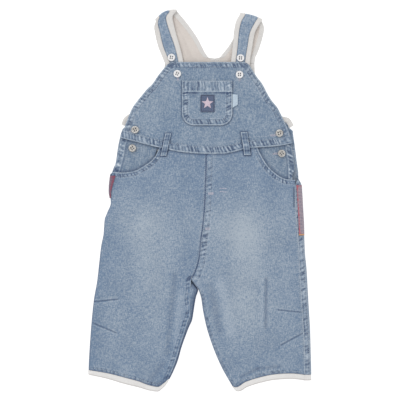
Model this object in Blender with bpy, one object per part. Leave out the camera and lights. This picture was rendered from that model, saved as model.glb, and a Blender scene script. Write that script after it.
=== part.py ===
"""Child's denim dungarees laid flat, front up, with the shoulder straps folded over onto the bib.

Sizes are in millimetres. X runs across, to the right as seen from above. Y runs up to the shoulders.
Z = 0 is the surface that the back lies on, and the origin is the middle of the outline.
Left and right are as seen from above.
"""

import math

import bmesh
import bpy
import numpy as np

MM = 0.001

# Thicknesses of cloth, and the room between pieces
DENIM = 1.3
JERSEY = 1.0
WEBBING = 0.9
FOLDED_TAB = 1.6
GAP = 0.3
CLEAR = 0.35
BAND_CLEAR = 0.45

# Sizes of sewn parts
BIB_WIDTH = 150.0
BIB_HEIGHT = 112.0
HEM_WIDTH = 7.5
HEM_RAISE = 0.5
HEM_STEP = 1.2
BINDING_WIDTH = 7.0
BINDING_RAISE = 0.4
WAIST_BAND_HEIGHT = 11.0
WAIST_BAND_THICKNESS = 1.1
WAIST_JOIN = 0.8
POCKET_BAND_HEIGHT = 16.0
POCKET_CLOTH = 1.2
BACK_CLOTH = 1.2
CUFF_RAISE = 0.4
FACING = 1.2
FACING_UNDERLAP = 6.0
FACING_DEPTH = DENIM + 2 * GAP
FACING_RISE = 0.9
FACING_RISE_REACH = 6.0
FACING_INSET = 3.4
BELT_LOOP = 1.2
ROUNDED_CORNER = 0.5

# Heights above the surface
STRAP_FRONT_HEIGHT = 4.85
STRAP_BACK_HEIGHT = 1.15
STRAP_HALF = JERSEY + GAP / 2
NO_DISTANCE = 1e-6
BACK_WAIST = 72.5
BACK_TOP = 198.2

# Buttons
BUTTON_DIAMETER = 11.0
BUTTON_THICKNESS = 2.5
BUTTON_DISH_DEPTH = 0.6
BUTTON_DISH_RADIUS = 3.6
BUTTON_HOLE_DIAMETER = 1.5
BUTTON_HOLE_RADIUS = 1.9
BUTTON_SIDES = 14
BUTTON_HOLES = 4

# How many rows and columns the meshes have
ARMHOLE_ROWS = 9
STRAP_BACK_ROWS = 6
STRAP_FOLD_ROWS = 7
STRAP_FRONT_ROWS = 9
STRAP_COLUMNS = 4
BACK_BIB_COLUMNS = 9
TAPE_ROWS = 9
TAPE_COLUMNS = 6

# Places along the legs where front and back both have a row, and shares of the way above the first
CROTCH_ROWS = [-108, -113, -119, -125]
LEG_ROWS = np.sort(np.append(np.linspace(20, -235, 18), CROTCH_ROWS))[::-1]
UPPER_ROWS = np.array([0, 0.12, 0.35, 0.5, 0.65, 0.8, 0.9])

# Shares across a front panel and across the flat of a back panel, and steps round each edge
FRONT_MIDDLE = np.array([0.1, 0.25, 0.4, 0.52, 0.57, 0.62, 0.7, 0.79, 0.9])
FRONT_COLUMNS = np.concatenate([[0, 0.01, 0.03, 0.05], FRONT_MIDDLE, [0.95, 0.97, 0.99, 1]])
FRONT_EDGE_STEPS = np.array([0, 0.33, 0.66, 1])
BACK_MIDDLE = np.linspace(0, 1, 6)[1:-1]
BACK_EDGE_STEPS = np.linspace(0, 1, 5)
BACK_LEG_COLUMNS = 2 * len(BACK_EDGE_STEPS) + len(BACK_MIDDLE)

# Quarter turns between a seam and the edges that meet there, and the least that a front's edge takes
SEAM_TURN_GAP = 0.05
LEAST_EDGE_TURN = 0.4

# Place along the garment, then x: where the outline of the whole lies
OUTLINE = {
    "left": [
        (110, -111), (95, -115), (76, -119), (53, -122.5), (46, -125.5), (32, -129.5), (14, -131),
        (-4, -129), (-19, -134.5), (-29, -138), (-49, -139.5), (-67, -143), (-93, -146),
        (-119, -149), (-141, -153), (-167, -156), (-197, -158.5), (-228, -160.5), (-262, -162),
    ],
    "right": [
        (110, 133.5), (90, 136.5), (72, 139), (56, 141), (34, 144.5), (20, 148), (-6, 149.5),
        (-32, 151), (-75, 152.5), (-101, 155), (-136, 157), (-162, 158.5), (-188, 160), (-262, 162),
    ],
}

# Place along the garment, then x: sides of the bib and of the front below it, down to the side seams
FRONT_EDGE = {
    "left": [
        (199.5, -40), (196.5, -46), (190, -52), (177, -62), (168, -68), (159.5, -76.5), (151, -83.5),
        (142, -91), (133.5, -97), (125, -101), (106, -108.5), (90.5, -113.5), (75, -117.5),
        (61, -120), (46, -124), (32, -129.5),
    ],
    "right": [
        (199.5, 65), (196.5, 70), (190, 74.5), (177, 83), (168, 90), (159.5, 94.5), (151, 99),
        (142, 105), (133.5, 112), (125, 116.5), (114.5, 121.5), (97, 129), (82.5, 132.5),
        (67, 135), (53, 137), (42, 140.5), (32, 145),
    ],
}

# Place along the garment, then x: the line that the front rounds down to, all the way to the hem
ROUNDED_EDGE = {
    side: edge + [row for row in OUTLINE[side] if row[0] < edge[-1][0]]
    for side, edge in FRONT_EDGE.items()
}

# Place along the garment, then x: the outer edge of each pocket facing
FACING_EDGE = {
    "left": FRONT_EDGE["left"],
    "right": [(90, 131), (82.5, 132.5), (67, 135), (53, 137), (40, 137.5), (20, 137.5)],
}

# Place along the garment, then x: the seam where front and back meet at the side
SIDE_SEAM = {
    "left": OUTLINE["left"],
    "right": [
        (60, 136), (53, 137), (40, 138), (19, 138), (-9, 138), (-54, 141), (-111, 144),
        (-166, 147.5), (-222, 150.5), (-262, 151),
    ],
}

# Which way is out from the middle, and where each side placket closes into the side seam
OUTWARD = {"left": -1, "right": 1}
PLACKET_END = {"left": (48, 32), "right": (42, 20)}

# Place along the garment, then x: the centre front seam, down to where the legs part
CENTRE_SEAM = [
    (70, 9), (54, 9), (35, 8.5), (6, 7.5), (-19, 6), (-43, 3.5), (-55, 1.5), (-83, -1), (-103, -6.5),
    (-114, -12),
]

# Place along the garment, then x: the inseam of the front, and the inner outline of each leg
INSEAM = {
    "left": CENTRE_SEAM + [
        (-122, -13), (-131, -13), (-141, -15), (-157, -13.5), (-167, -14), (-175, -17),
        (-190, -21.5), (-206, -27), (-223, -32), (-241, -38), (-262, -47),
    ],
    "right": CENTRE_SEAM + [
        (-123, -7.5), (-130, -2), (-142, 2), (-159, 4.5), (-181, 9), (-210, 18), (-241, 31),
        (-261, 42), (-276, 51),
    ],
}
INNER_OUTLINE = {
    "left": CENTRE_SEAM + [
        (-123, -8), (-130, -4), (-141, -5.5), (-149, -7), (-162, -9), (-174, -11), (-184, -15.5),
        (-197, -20.5), (-214, -26.5), (-232, -31.5), (-249, -38.5), (-265, -46.5),
    ],
    "right": INSEAM["right"],
}

# Share of the way from the inseam to the side seam, then place along the garment: the denim's hem
HEM = {
    "left": [
        (0, -259), (0.06, -266), (0.12, -270), (0.2, -268.5), (0.37, -262), (0.54, -257),
        (0.78, -250), (1, -245.5),
    ],
    "right": [
        (0, -268), (0.03, -270.5), (0.2, -263), (0.4, -256.5), (0.6, -252), (0.8, -250.5),
        (1, -252.5),
    ],
}
CUFF_HEIGHT = {
    "left": [(0, 5.5), (0.12, 7), (0.5, 9), (1, 7)],
    "right": [(0, 6), (0.3, 7.5), (1, 8.5)],
}

# X, then place along the garment: the seam under the waist band, and the pockets' scooped mouths
WAIST_SEAM = [
    (-116, 90), (-92, 84), (-65, 77.5), (-44, 73), (-21, 69), (9, 67), (34, 67), (48, 69.5),
    (60, 72.5), (76, 75.5), (100, 77), (122, 79.5), (134, 82),
]
SCOOP = {
    "left": [(0.52, 79), (0.54, 72), (0.57, 63), (0.655, 51.5), (0.76, 42), (0.88, 39.5), (1, 41)],
    "right": [(0.57, 80), (0.59, 72), (0.62, 63), (0.69, 47.5), (0.785, 35.5), (0.88, 30), (1, 29)],
}
SCOOP_START = {"left": -62.0, "right": 82.5}

# Place along the garment, then height: the front's middle, its rounded rim, and how far in it rounds
CROWN = [(200, 8.5), (150, 8.5), (80, 8.8), (20, 9.4), (-100, 9.6), (-200, 9.2), (-262, 8.8)]
RIM = [(200, 8.4), (180, 8.0), (150, 6.6), (120, 5.8), (60, 5.4), (46, 4.8), (34, 4.2), (-262, 4.2)]
ROUNDING = [(200, 12), (120, 12), (60, 9), (36, 6), (-262, 6)]

# The largest folds: x and y of both ends, width and height, where a height below zero is a hollow
FOLDS = [
    (-150, -147, -119, -143.5, 6, -1.1),
    (-150, -178, -121, -192, 6, -1.1),
    (152, -162.5, 113.5, -159, 6, -1.1),
    (147, -193, 117, -210, 6, -1.1),
    (96, -110, 96, -187, 5, 0.7),
    (-18, -108, -62, -74, 9, 0.8),
    (8, -112, 52, -86, 9, 0.8),
    (-132, -168, -100, -168, 14, 0.6),
    (135, -184, 100, -184, 14, 0.6),
]

# Rows of each strap, from the back up to the shoulder: left edge x and y, right edge x and y
STRAP_BACK = {
    "left": [
        (-50.5, 198.5, 20.5, 198.5), (-50.5, 215, 9, 214), (-53, 235, -4, 236),
        (-59, 250, -19.5, 258),
    ],
    "right": [
        (21.5, 198.5, 79.5, 198.5), (34, 213.5, 83, 212), (47, 231, 90, 232),
        (55.5, 252, 93.5, 249),
    ],
}
STRAP_FOLD = {"left": (-65, 262.5, -34.5, 277), "right": (59, 272, 91, 263)}
STRAP_FRONT = {
    "left": [
        (-66, 250, -39.5, 265), (-64, 238, -34.5, 242), (-60.5, 223.5, -29.5, 225),
        (-54, 207, -25.5, 209), (-49, 194.5, -23, 197), (-43, 177, -17, 180), (-37.5, 162.5, -12.5, 165.5),
    ],
    "right": [
        (52.5, 258, 86, 254), (49.5, 242, 79.5, 241), (48, 225, 76.5, 223.5),
        (46, 207, 73.5, 206), (44.5, 194, 72, 193), (42.5, 177, 70, 175.5), (41, 162.5, 68.5, 161),
    ],
}

# Outer edge of each armhole of the back, from the strap down to the side, as x and y
ARMHOLE = {
    "left": [(-50.5, 198), (-54.5, 177), (-63.5, 160), (-76.5, 145), (-91, 131), (-109, 116)],
    "right": [(79.5, 198), (80.5, 177), (87.5, 160), (97, 145), (109, 131), (130, 115)],
}

# From the lower end of an armhole's binding to the back's corner beside it, as outward and up
UNDERARM_CORNER = (5, -4)

# Bib pocket with its patch and tab
POCKET = {"left": -25.5, "right": 47.0, "top": 172.3, "bottom": 108.0, "corner": 17.0}
PATCH = {"left": 1.0, "right": 21.5, "top": 152.0, "bottom": 127.0}
TAB = {"left": 47.4, "right": 55.0, "top": 153.0, "bottom": 136.0}

# Belt loops: middle of the upper end, middle of the lower end, width
BELT_LOOPS = {"left": (-45.5, 96, -52.5, 64, 8.0), "right": (64, 98, 69, 65, 9.0)}

# Side tapes: place of the two ends, and how far round the edge each starts and ends, in quarter turns
SIDE_TAPES = {"left": (35.0, 3.0, 0.06, 0.75), "right": (17.0, -51.0, 0.0, 1.45)}

BUTTONS = [
    ("button_strap_left", -41, 206.3, "white"),
    ("button_bib_left", -32.5, 182.4, "white"),
    ("button_strap_right", 59, 205.5, "white"),
    ("button_bib_right", 57.5, 181.2, "white"),
    ("button_side_left_upper", -93.5, 101.5, "pearl"),
    ("button_side_left_lower", -97.5, 75.0, "pearl"),
    ("button_side_right_upper", 115, 96.5, "pearl"),
    ("button_side_right_lower", 118.5, 67.3, "pearl"),
]

COLOURS = {
    "denim": (0.52, 0.59, 0.67),
    "bib_denim": (0.51, 0.57, 0.65),
    "facing_denim": (0.47, 0.54, 0.61),
    "jersey": (0.84, 0.82, 0.81),
    "cuff": (0.91, 0.91, 0.90),
    "white": (0.93, 0.93, 0.92),
    "pearl": (0.86, 0.84, 0.79),
    "navy": (0.26, 0.28, 0.42),
    "sky": (0.73, 0.78, 0.84),
    "tape": (0.58, 0.20, 0.26),
}
ROUGHNESS = {"white": 0.35, "pearl": 0.3}
CLOTH_ROUGHNESS = 0.9


# Curves and surfaces

def smooth(table, at):
    """Value at a place along a table of (place, value), on a curve that never overshoots its points."""
    places, values = np.array(sorted(table), float).T
    secants = np.diff(values) / np.diff(places)
    before, after = secants[:-1], secants[1:]
    same_way = before * after > 0
    total = np.where(same_way, before + after, 1)
    inner_slopes = np.where(same_way, 2 * before * after / total, 0)
    slopes = np.concatenate([secants[:1], inner_slopes, secants[-1:]])
    at = np.clip(np.asarray(at, float), places[0], places[-1])
    left = np.clip(np.searchsorted(places, at) - 1, 0, len(places) - 2)
    span = places[left + 1] - places[left]
    t = (at - places[left]) / span
    start = values[left] * (2 * t**3 - 3 * t**2 + 1)
    end = values[left + 1] * (3 * t**2 - 2 * t**3)
    leaving = slopes[left] * span * (t**3 - 2 * t**2 + t)
    arriving = slopes[left + 1] * span * (t**3 - t**2)
    return start + end + leaving + arriving


def ease(start, end, at):
    """0 before start, 1 past end, and smooth between them."""
    t = np.clip((np.asarray(at, float) - start) / (end - start), 0, 1)
    return t * t * (3 - 2 * t)


def edge_drop(distance, radius):
    """1 on an edge and 0 once past the radius, along a quarter of an ellipse."""
    t = np.clip(distance / radius, 0, 1)
    return 1 - np.sqrt(1 - (1 - t) ** 2)


def fold_height(x, y):
    total = np.zeros(np.broadcast(x, y).shape)
    for x_start, y_start, x_end, y_end, width, height in FOLDS:
        run = np.array([x_end - x_start, y_end - y_start])
        length = np.hypot(*run)
        along = ((x - x_start) * run[0] + (y - y_start) * run[1]) / length
        aside = ((x - x_start) * run[1] - (y - y_start) * run[0]) / length
        past_end = np.maximum(np.maximum(-along, along - length), 0)
        total += height * np.exp(-(aside**2 + past_end**2) / width**2)
    return total


def front_height(x, y, leg=None):
    """Height of the front's outer face. With a leg given, it rounds down to the inseam as well."""
    x, y = np.asarray(x, float), np.asarray(y, float)
    crown = smooth(CROWN, y) + fold_height(x, y)
    rim = smooth(RIM, y)
    radius = smooth(ROUNDING, y)
    from_left = x - smooth(ROUNDED_EDGE["left"], y)
    from_right = smooth(ROUNDED_EDGE["right"], y) - x
    drop = np.maximum(edge_drop(from_left, radius), edge_drop(from_right, radius))
    if leg:
        from_inside = (x - smooth(INNER_OUTLINE[leg], y)) * OUTWARD[leg]
        drop = np.maximum(drop, edge_drop(from_inside, radius) * legs_parted(y))
    return crown - (crown - rim) * drop


def legs_parted(y):
    """0 above the crotch and 1 once the two legs are apart."""
    return ease(-108, -130, y)


def side_closed(leg, y):
    """0 beside the open placket, where the back lies flat, and 1 where the side seam has begun."""
    return ease(*PLACKET_END[leg], y)


# Meshes

def material(name):
    found = bpy.data.materials.get(name)
    if found:
        return found
    made = bpy.data.materials.new(name)
    made.use_nodes = True
    shader = made.node_tree.nodes["Principled BSDF"]
    linear = [channel**2.2 for channel in COLOURS[name]]
    shader.inputs["Base Color"].default_value = (*linear, 1)
    shader.inputs["Roughness"].default_value = ROUGHNESS.get(name, CLOTH_ROUGHNESS)
    shader.inputs["Metallic"].default_value = 0
    return made


def add_object(name, mesh, finish):
    mesh.shade_smooth()
    mesh.set_sharp_from_angle(angle=math.radians(40))
    if not mesh.materials:
        mesh.materials.append(material(finish))
    piece = bpy.data.objects.new(name, mesh)
    bpy.context.scene.collection.objects.link(piece)
    return piece


def normals(points, up):
    """Unit normals of a grid of points, turned so that most of them point up, or down where up is -1."""
    down_rows = np.gradient(points, axis=0, edge_order=min(2, points.shape[0] - 1))
    along_columns = np.gradient(points, axis=1, edge_order=min(2, points.shape[1] - 1))
    across = np.cross(along_columns, down_rows)
    across /= np.linalg.norm(across, axis=2, keepdims=True)
    return across * np.sign(across[..., 2].mean()) * up


def moved_out(points, distance, up=1):
    distance = np.broadcast_to(distance, points.shape[:2])[..., None]
    return points + normals(points, up) * distance


def shell(name, outer, inner, finish):
    """A closed wall between two grids of points of the same size."""
    rows, columns = outer.shape[:2]
    index = np.arange(rows * columns).reshape(rows, columns)
    count = rows * columns
    border = np.concatenate([index[0], index[1:, -1], index[-1, -2::-1], index[-2:0:-1, 0]])
    faces = []
    for i in range(rows - 1):
        for j in range(columns - 1):
            quad = (index[i, j], index[i, j + 1], index[i + 1, j + 1], index[i + 1, j])
            faces.append(quad)
            faces.append([count + quad[corner] for corner in (0, 3, 2, 1)])
    for here, there in zip(border, np.roll(border, -1)):
        faces.append((here, count + here, count + there, there))
    vertices = np.concatenate([outer.reshape(-1, 3), inner.reshape(-1, 3)]) * MM
    mesh = bpy.data.meshes.new(name)
    mesh.from_pydata(vertices.tolist(), [], [[int(corner) for corner in face] for face in faces])
    work = bmesh.new()
    work.from_mesh(mesh)
    bmesh.ops.recalc_face_normals(work, faces=work.faces)
    work.to_mesh(mesh)
    work.free()
    return add_object(name, mesh, finish)


def wall(name, outer, thickness, finish, up=1):
    """A wall whose outer face is the grid of points, with the thickness inside it."""
    return shell(name, outer, moved_out(outer, -thickness, up), finish)


def grid(columns, rows, top, bottom, across):
    """X and Y of a panel. Top and bottom give each column's ends, and across gives x at (column, y)."""
    columns, rows = np.asarray(columns, float), np.asarray(rows, float)
    y = top(columns) + (bottom(columns) - top(columns)) * rows[:, None]
    x = across(np.broadcast_to(columns, y.shape), y)
    return x, y


# Legs, each a flattened tube of a front and a back that meet at the inseam and the side seam
# Quarter turns round a tube's edge: -1 is the flat underside, 0 is the outline and 1 is the top

def distance_at(turn, radius):
    """How far in from the outline a place round the edge lies."""
    angle = np.clip(turn, -1, 1) * math.pi / 2
    return radius * (1 - np.cos(angle)) + radius * np.maximum(turn - 1, 0)


def height_at(turn, rim, crown):
    """Height of a place round the edge."""
    angle = np.clip(turn, -1, 1) * math.pi / 2
    return np.where(turn < 0, rim * (1 + np.sin(angle)), rim + (crown - rim) * np.sin(angle))


def turn_at(distance, radius):
    """The place on the tube's top that is this far in from the outline."""
    inside = np.arccos(np.clip(1 - distance / radius, 0, 1)) * 2 / math.pi
    return np.where(distance < radius, inside, distance / radius)


def seam_turns(leg, y):
    """Quarter turns at which the inseam and the side seam lie."""
    radius = smooth(ROUNDING, y)
    inseam = abs(smooth(INSEAM[leg], y) - smooth(INNER_OUTLINE[leg], y))
    side = abs(smooth(OUTLINE[leg], y) - smooth(SIDE_SEAM[leg], y))
    return turn_at(inseam, radius), turn_at(side, radius)


def front_across(leg, column_index, y):
    """X of the front panel's columns: a few round each edge, and the rest spread between them."""
    radius = smooth(ROUNDING, y)
    inner_turn, side_turn = seam_turns(leg, y)
    inner_edge = smooth(INNER_OUTLINE[leg], y)
    outer_edge = smooth(OUTLINE[leg], y)
    inside = []
    outside = []
    for step in FRONT_EDGE_STEPS:
        turn = inner_turn + SEAM_TURN_GAP + step * np.maximum(1 - inner_turn, LEAST_EDGE_TURN)
        inside.append(inner_edge + OUTWARD[leg] * (distance_at(turn, radius) + GAP / 2))
        turn = side_turn + SEAM_TURN_GAP + step * np.maximum(1 - side_turn, LEAST_EDGE_TURN)
        outside.append(outer_edge - OUTWARD[leg] * distance_at(turn, radius))
    first, last = FRONT_COLUMNS[len(inside) - 1], FRONT_COLUMNS[-len(outside)]
    spread = (FRONT_MIDDLE - first) / (last - first)
    middle = [inside[-1] + (outside[-1] - inside[-1]) * share for share in spread]
    columns = inside + middle + outside[::-1]
    return np.choose(column_index, columns)


def front_points(leg, y):
    column_index = np.broadcast_to(np.arange(len(FRONT_COLUMNS)), y.shape)
    x = front_across(leg, column_index, y)
    return np.dstack([x, y, front_height(x, y, leg)])


def front_top(leg):
    """The front panel's upper edge: under the waist band, then round the pocket's scoop."""
    centre = smooth(CENTRE_SEAM, BACK_WAIST)
    start_share = SCOOP[leg][0][0]

    def top(share):
        x = centre + (SCOOP_START[leg] - centre) * np.minimum(share / start_share, 1)
        under_band = smooth(WAIST_SEAM, x) + WAIST_BAND_HEIGHT / 2 - WAIST_JOIN
        return np.where(share < start_share, under_band, smooth(SCOOP[leg], share))

    return top


def leg_rows(columns, top, hem):
    """Y of a leg panel: a few rows below its upper edge, the shared rows, and two down to the hem."""
    upper = [top + (LEG_ROWS[0] - top) * share for share in UPPER_ROWS]
    shared = [np.full(columns, y) for y in LEG_ROWS]
    return np.array(upper + shared + [(LEG_ROWS[-1] + hem) / 2, hem])


def build_front_leg(leg):
    top = front_top(leg)(FRONT_COLUMNS)
    y = leg_rows(len(FRONT_COLUMNS), top, smooth(HEM[leg], FRONT_COLUMNS))
    wall(f"front_leg_{leg}", front_points(leg, y), DENIM, "denim")


def back_points(leg, y):
    """Points of the back panel's outer face: up round the inner edge, flat below, up round the side.

    Y is a row of values for each of the columns.
    """
    edge = len(BACK_EDGE_STEPS)
    x = np.zeros(y.shape)
    z = np.zeros(y.shape)
    wraps = (
        (slice(0, edge), INNER_OUTLINE[leg], OUTWARD[leg], 0, legs_parted(y), BACK_EDGE_STEPS),
        (slice(-edge, None), OUTLINE[leg], -OUTWARD[leg], 1, side_closed(leg, y), BACK_EDGE_STEPS[::-1]),
    )
    for part, outline, inward, seam, closed, steps in wraps:
        radius = smooth(ROUNDING, y[:, part])
        turn = (seam_turns(leg, y[:, part])[seam] - SEAM_TURN_GAP) * (1 - steps) - steps
        flat_distance = GAP / 2 + (radius - GAP / 2) * steps
        closed = closed[:, part]
        from_edge = distance_at(turn, radius) * closed + flat_distance * (1 - closed)
        x[:, part] = smooth(outline, y[:, part]) + inward * (from_edge + GAP / 2)
        crown = smooth(CROWN, y[:, part]) + fold_height(x[:, part], y[:, part])
        z[:, part] = height_at(turn, smooth(RIM, y[:, part]), crown) * closed
    start, end = x[:, edge - 1], x[:, -edge]
    for column, share in enumerate(BACK_MIDDLE):
        x[:, edge + column] = start + (end - start) * share
    return np.dstack([x, y, z])


def back_share(leg):
    """Share of the way from inseam to side seam of each column of the back, near the hem."""
    y = np.full((1, BACK_LEG_COLUMNS), LEG_ROWS[-1])
    x = back_points(leg, y)[0, :, 0]
    return np.clip((x - x[0]) / (x[-1] - x[0]), 0, 1)


def build_back_leg(leg):
    top = np.full(BACK_LEG_COLUMNS, BACK_WAIST - GAP)
    y = leg_rows(BACK_LEG_COLUMNS, top, smooth(HEM[leg], back_share(leg)))
    wall(f"back_leg_{leg}", back_points(leg, y), DENIM, "denim", up=-1)


def build_cuffs(leg):
    """The binding of each leg opening: its front half and its back half."""
    halves = (
        ("front", FRONT_COLUMNS, front_points, CUFF_RAISE, 1),
        ("back", back_share(leg), back_points, 0, -1),
    )
    for half, share, points_at, raised, up in halves:
        height = smooth(CUFF_HEIGHT[leg], share)
        y = np.array([smooth(HEM[leg], share) - GAP - (height - GAP) * row for row in (0, 0.5, 1)])
        outer = moved_out(points_at(leg, y), raised, up)
        wall(f"cuff_{half}_{leg}", outer, DENIM + 2 * CUFF_RAISE, "cuff", up)


def build_side_tape(leg):
    """A woven ribbon that lies round the side of the tube."""
    start, end, first_turn, last_turn = SIDE_TAPES[leg]
    places = np.linspace(start, end, TAPE_ROWS)
    turns = np.linspace(first_turn, last_turn, TAPE_COLUMNS)
    y, turn = np.meshgrid(places, turns, indexing="ij")
    x = smooth(OUTLINE[leg], y) - OUTWARD[leg] * distance_at(turn, smooth(ROUNDING, y))
    crown = smooth(CROWN, y) + fold_height(x, y)
    points = np.dstack([x, y, height_at(turn, smooth(RIM, y), crown)])
    shell(f"side_tape_{leg}", moved_out(points, CLEAR + WEBBING), moved_out(points, CLEAR), "tape")


# Bib, waist band and what is sewn to them

def bib_columns():
    """Shares across the bib, closer over each side hem and where it ends."""
    hem = np.array([0, 0.3, 1]) * HEM_WIDTH / BIB_WIDTH
    step = hem[-1] + HEM_STEP / BIB_WIDTH
    return np.concatenate([hem, np.linspace(step, 1 - step, 11), 1 - hem[::-1]])


def bib_across(share, y):
    left = smooth(FRONT_EDGE["left"], y)
    right = smooth(FRONT_EDGE["right"], y)
    return left + (right - left) * share


def waist_at(share, above):
    """The waist seam's place at a share across the front, at a height above the seam."""
    left, right = WAIST_SEAM[0][0], WAIST_SEAM[-1][0]
    return smooth(WAIST_SEAM, left + (right - left) * share) + above


def build_bib():
    columns = bib_columns()
    top = FRONT_EDGE["left"][0][0]
    hem = HEM_WIDTH / BIB_HEIGHT
    step = HEM_STEP / BIB_HEIGHT
    rows = np.concatenate([[0, hem], np.linspace(hem + step, 1, 10)])
    x, y = grid(
        columns, rows, lambda share: np.full_like(share, top),
        lambda share: waist_at(share, WAIST_BAND_HEIGHT / 2 + WAIST_JOIN), bib_across,
    )
    points = np.dstack([x, y, front_height(x, y)])
    hemmed = np.zeros(x.shape)
    hemmed[:2] = HEM_RAISE
    hemmed[:, :3] = HEM_RAISE
    hemmed[:, -3:] = HEM_RAISE
    shell("bib_front", moved_out(points, hemmed), moved_out(points, -DENIM), "bib_denim")


def build_waist_band():
    """A raised band over the seam that joins the bib to the front panels and pocket facings."""
    columns = bib_columns()
    x, y = grid(
        columns, np.linspace(0, 1, 4), lambda share: waist_at(share, WAIST_BAND_HEIGHT),
        lambda share: waist_at(share, 0), bib_across,
    )
    points = np.dstack([x, y, front_height(x, y)])
    base = np.full(x.shape, BAND_CLEAR)
    base[:, :3] += HEM_RAISE
    base[:, -3:] += HEM_RAISE
    thickness = WAIST_BAND_THICKNESS * np.array([0.6, 1, 1, 0.6])[:, None]
    shell("waist_band", moved_out(points, base + thickness), moved_out(points, base), "bib_denim")


def build_hip_facing(leg):
    """The cloth seen inside a scooped pocket. It runs on a little below the front panel's edge."""
    start = SCOOP_START[leg] - OUTWARD[leg] * FACING_UNDERLAP
    mouth_share, mouth_top = SCOOP[leg][0]
    inner_share = mouth_share - 0.05

    def across(share, y):
        return start + (smooth(FACING_EDGE[leg], y) - start) * (share - inner_share) / (1 - inner_share)

    def top(share):
        x = across(share, np.full_like(share, mouth_top))
        return smooth(WAIST_SEAM, x) + WAIST_BAND_HEIGHT / 2 - WAIST_JOIN

    def bottom(share):
        mouth = smooth([(inner_share, mouth_top + 1)] + SCOOP[leg], share)
        return np.minimum(mouth, top(share)) - FACING_UNDERLAP

    columns = np.concatenate([np.linspace(inner_share, 0.9, 8), [0.94, 0.97, 1]])
    x, y = grid(columns, np.linspace(0, 1, 6), top, bottom, across)
    x = x - OUTWARD[leg] * FACING_INSET * ease(46, 36, y) * ease(0.9, 1, columns)
    in_mouth = ease(mouth_share + 0.03, mouth_share + 0.12, columns)
    risen = in_mouth * ease(FACING_RISE_REACH, 0, smooth(WAIST_SEAM, x) - y)
    points = np.dstack([x, y, front_height(x, y) - FACING_DEPTH + FACING_RISE * risen])
    wall(f"hip_facing_{leg}", points, FACING, "facing_denim")


def build_belt_loop(side):
    """A strip that is sewn down at both ends and stands clear of the waist band between them."""
    x_top, y_top, x_bottom, y_bottom, width = BELT_LOOPS[side]
    over_band = BAND_CLEAR + WAIST_BAND_THICKNESS + CLEAR
    rise = [(0, CLEAR), (0.2, CLEAR), (0.33, over_band), (0.76, over_band), (0.9, CLEAR), (1, CLEAR)]
    rows = np.array([0, 0.1, 0.2, 0.265, 0.33, 0.54, 0.76, 0.83, 0.9, 1])
    columns = np.array([-0.5, 0, 0.5])
    x = x_top + (x_bottom - x_top) * rows[:, None] + columns * width
    y = np.broadcast_to(y_top + (y_bottom - y_top) * rows[:, None], x.shape)
    points = np.dstack([x, y, front_height(x, y) + smooth(rise, rows)[:, None]])
    thickness = BELT_LOOP * np.array([0.75, 1, 0.75])
    shell(f"belt_loop_{side}", moved_out(points, thickness), points, "denim")


def build_pocket():
    """A patch pocket with round lower corners and a thicker band along its top."""
    corner = POCKET["corner"]
    width = POCKET["right"] - POCKET["left"]
    height = POCKET["top"] - POCKET["bottom"]

    def lower_edge(share):
        from_side = np.minimum(share, 1 - share) * width
        inside = np.clip(corner - from_side, 0, corner)
        return POCKET["bottom"] + corner - np.sqrt(corner**2 - inside**2)

    columns = np.array([0, 0.02, 0.07, 0.14, 0.24, 0.42, 0.58, 0.76, 0.86, 0.93, 0.98, 1])
    band = POCKET_BAND_HEIGHT / height
    step = HEM_STEP / height
    rows = np.concatenate([[0, band], np.linspace(band + step, 1, 5)])
    x, y = grid(
        columns, rows, lambda share: np.full_like(share, POCKET["top"]), lower_edge,
        lambda share, y: POCKET["left"] + width * share,
    )
    points = np.dstack([x, y, front_height(x, y)])
    thickness = np.full(x.shape, POCKET_CLOTH)
    thickness[:2] += HEM_RAISE
    shell("bib_pocket", moved_out(points, CLEAR + thickness), moved_out(points, CLEAR), "bib_denim")


def build_flat_piece(name, box, base, thickness, finish, slant=0.0):
    """A small rectangle of cloth that lies on the bib, a given height over it."""
    shares = np.linspace(0, 1, 3)
    x, y = grid(
        shares, shares,
        lambda share: box["top"] + slant * share,
        lambda share: box["bottom"] + slant * share,
        lambda share, y: box["left"] + (box["right"] - box["left"]) * share,
    )
    points = np.dstack([x, y, front_height(x, y) + base])
    shell(name, points + [0, 0, thickness], points, finish)


# Back, straps and their bindings

def resampled(points, count):
    """Points of a route, spread evenly along it on a smooth curve."""
    points = np.array(points, float)
    steps = np.hypot(*np.diff(points, axis=0).T)
    places = np.concatenate([[0], np.cumsum(steps)])
    at = np.linspace(0, places[-1], count)
    return np.stack([smooth(list(zip(places, points[:, axis])), at) for axis in (0, 1)], axis=1)


def inset(line, distance, towards):
    """A line of x and y points moved sideways, towards +x or -x."""
    run = np.gradient(line, axis=0)
    side = np.stack([-run[:, 1], run[:, 0]], axis=1)
    side /= np.linalg.norm(side, axis=1, keepdims=True)
    side *= np.sign(side[:, :1] * towards)
    return line + side * np.broadcast_to(distance, len(line))[:, None]


def between(left, right, columns, height):
    """A flat grid of points between two lines."""
    columns = np.asarray(columns, float)[None, :, None]
    plan = left[:, None] * (1 - columns) + right[:, None] * columns
    return np.dstack([plan, np.full(plan.shape[:2], height)])


def back_side(leg):
    """Edge of the back above the waist: up the side, then in along the armhole's binding."""
    armhole = resampled(ARMHOLE[leg], ARMHOLE_ROWS)[::-1]
    bound = inset(armhole, BINDING_WIDTH + GAP, -OUTWARD[leg])
    side_places = np.array([BACK_WAIST, 84, 96])
    side = np.stack([smooth(OUTLINE[leg], side_places), side_places], axis=1)
    corner = bound[0] + [OUTWARD[leg] * UNDERARM_CORNER[0], UNDERARM_CORNER[1]]
    line = np.concatenate([side, [corner], bound])
    line[-1, 1] = BACK_TOP
    return line


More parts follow.
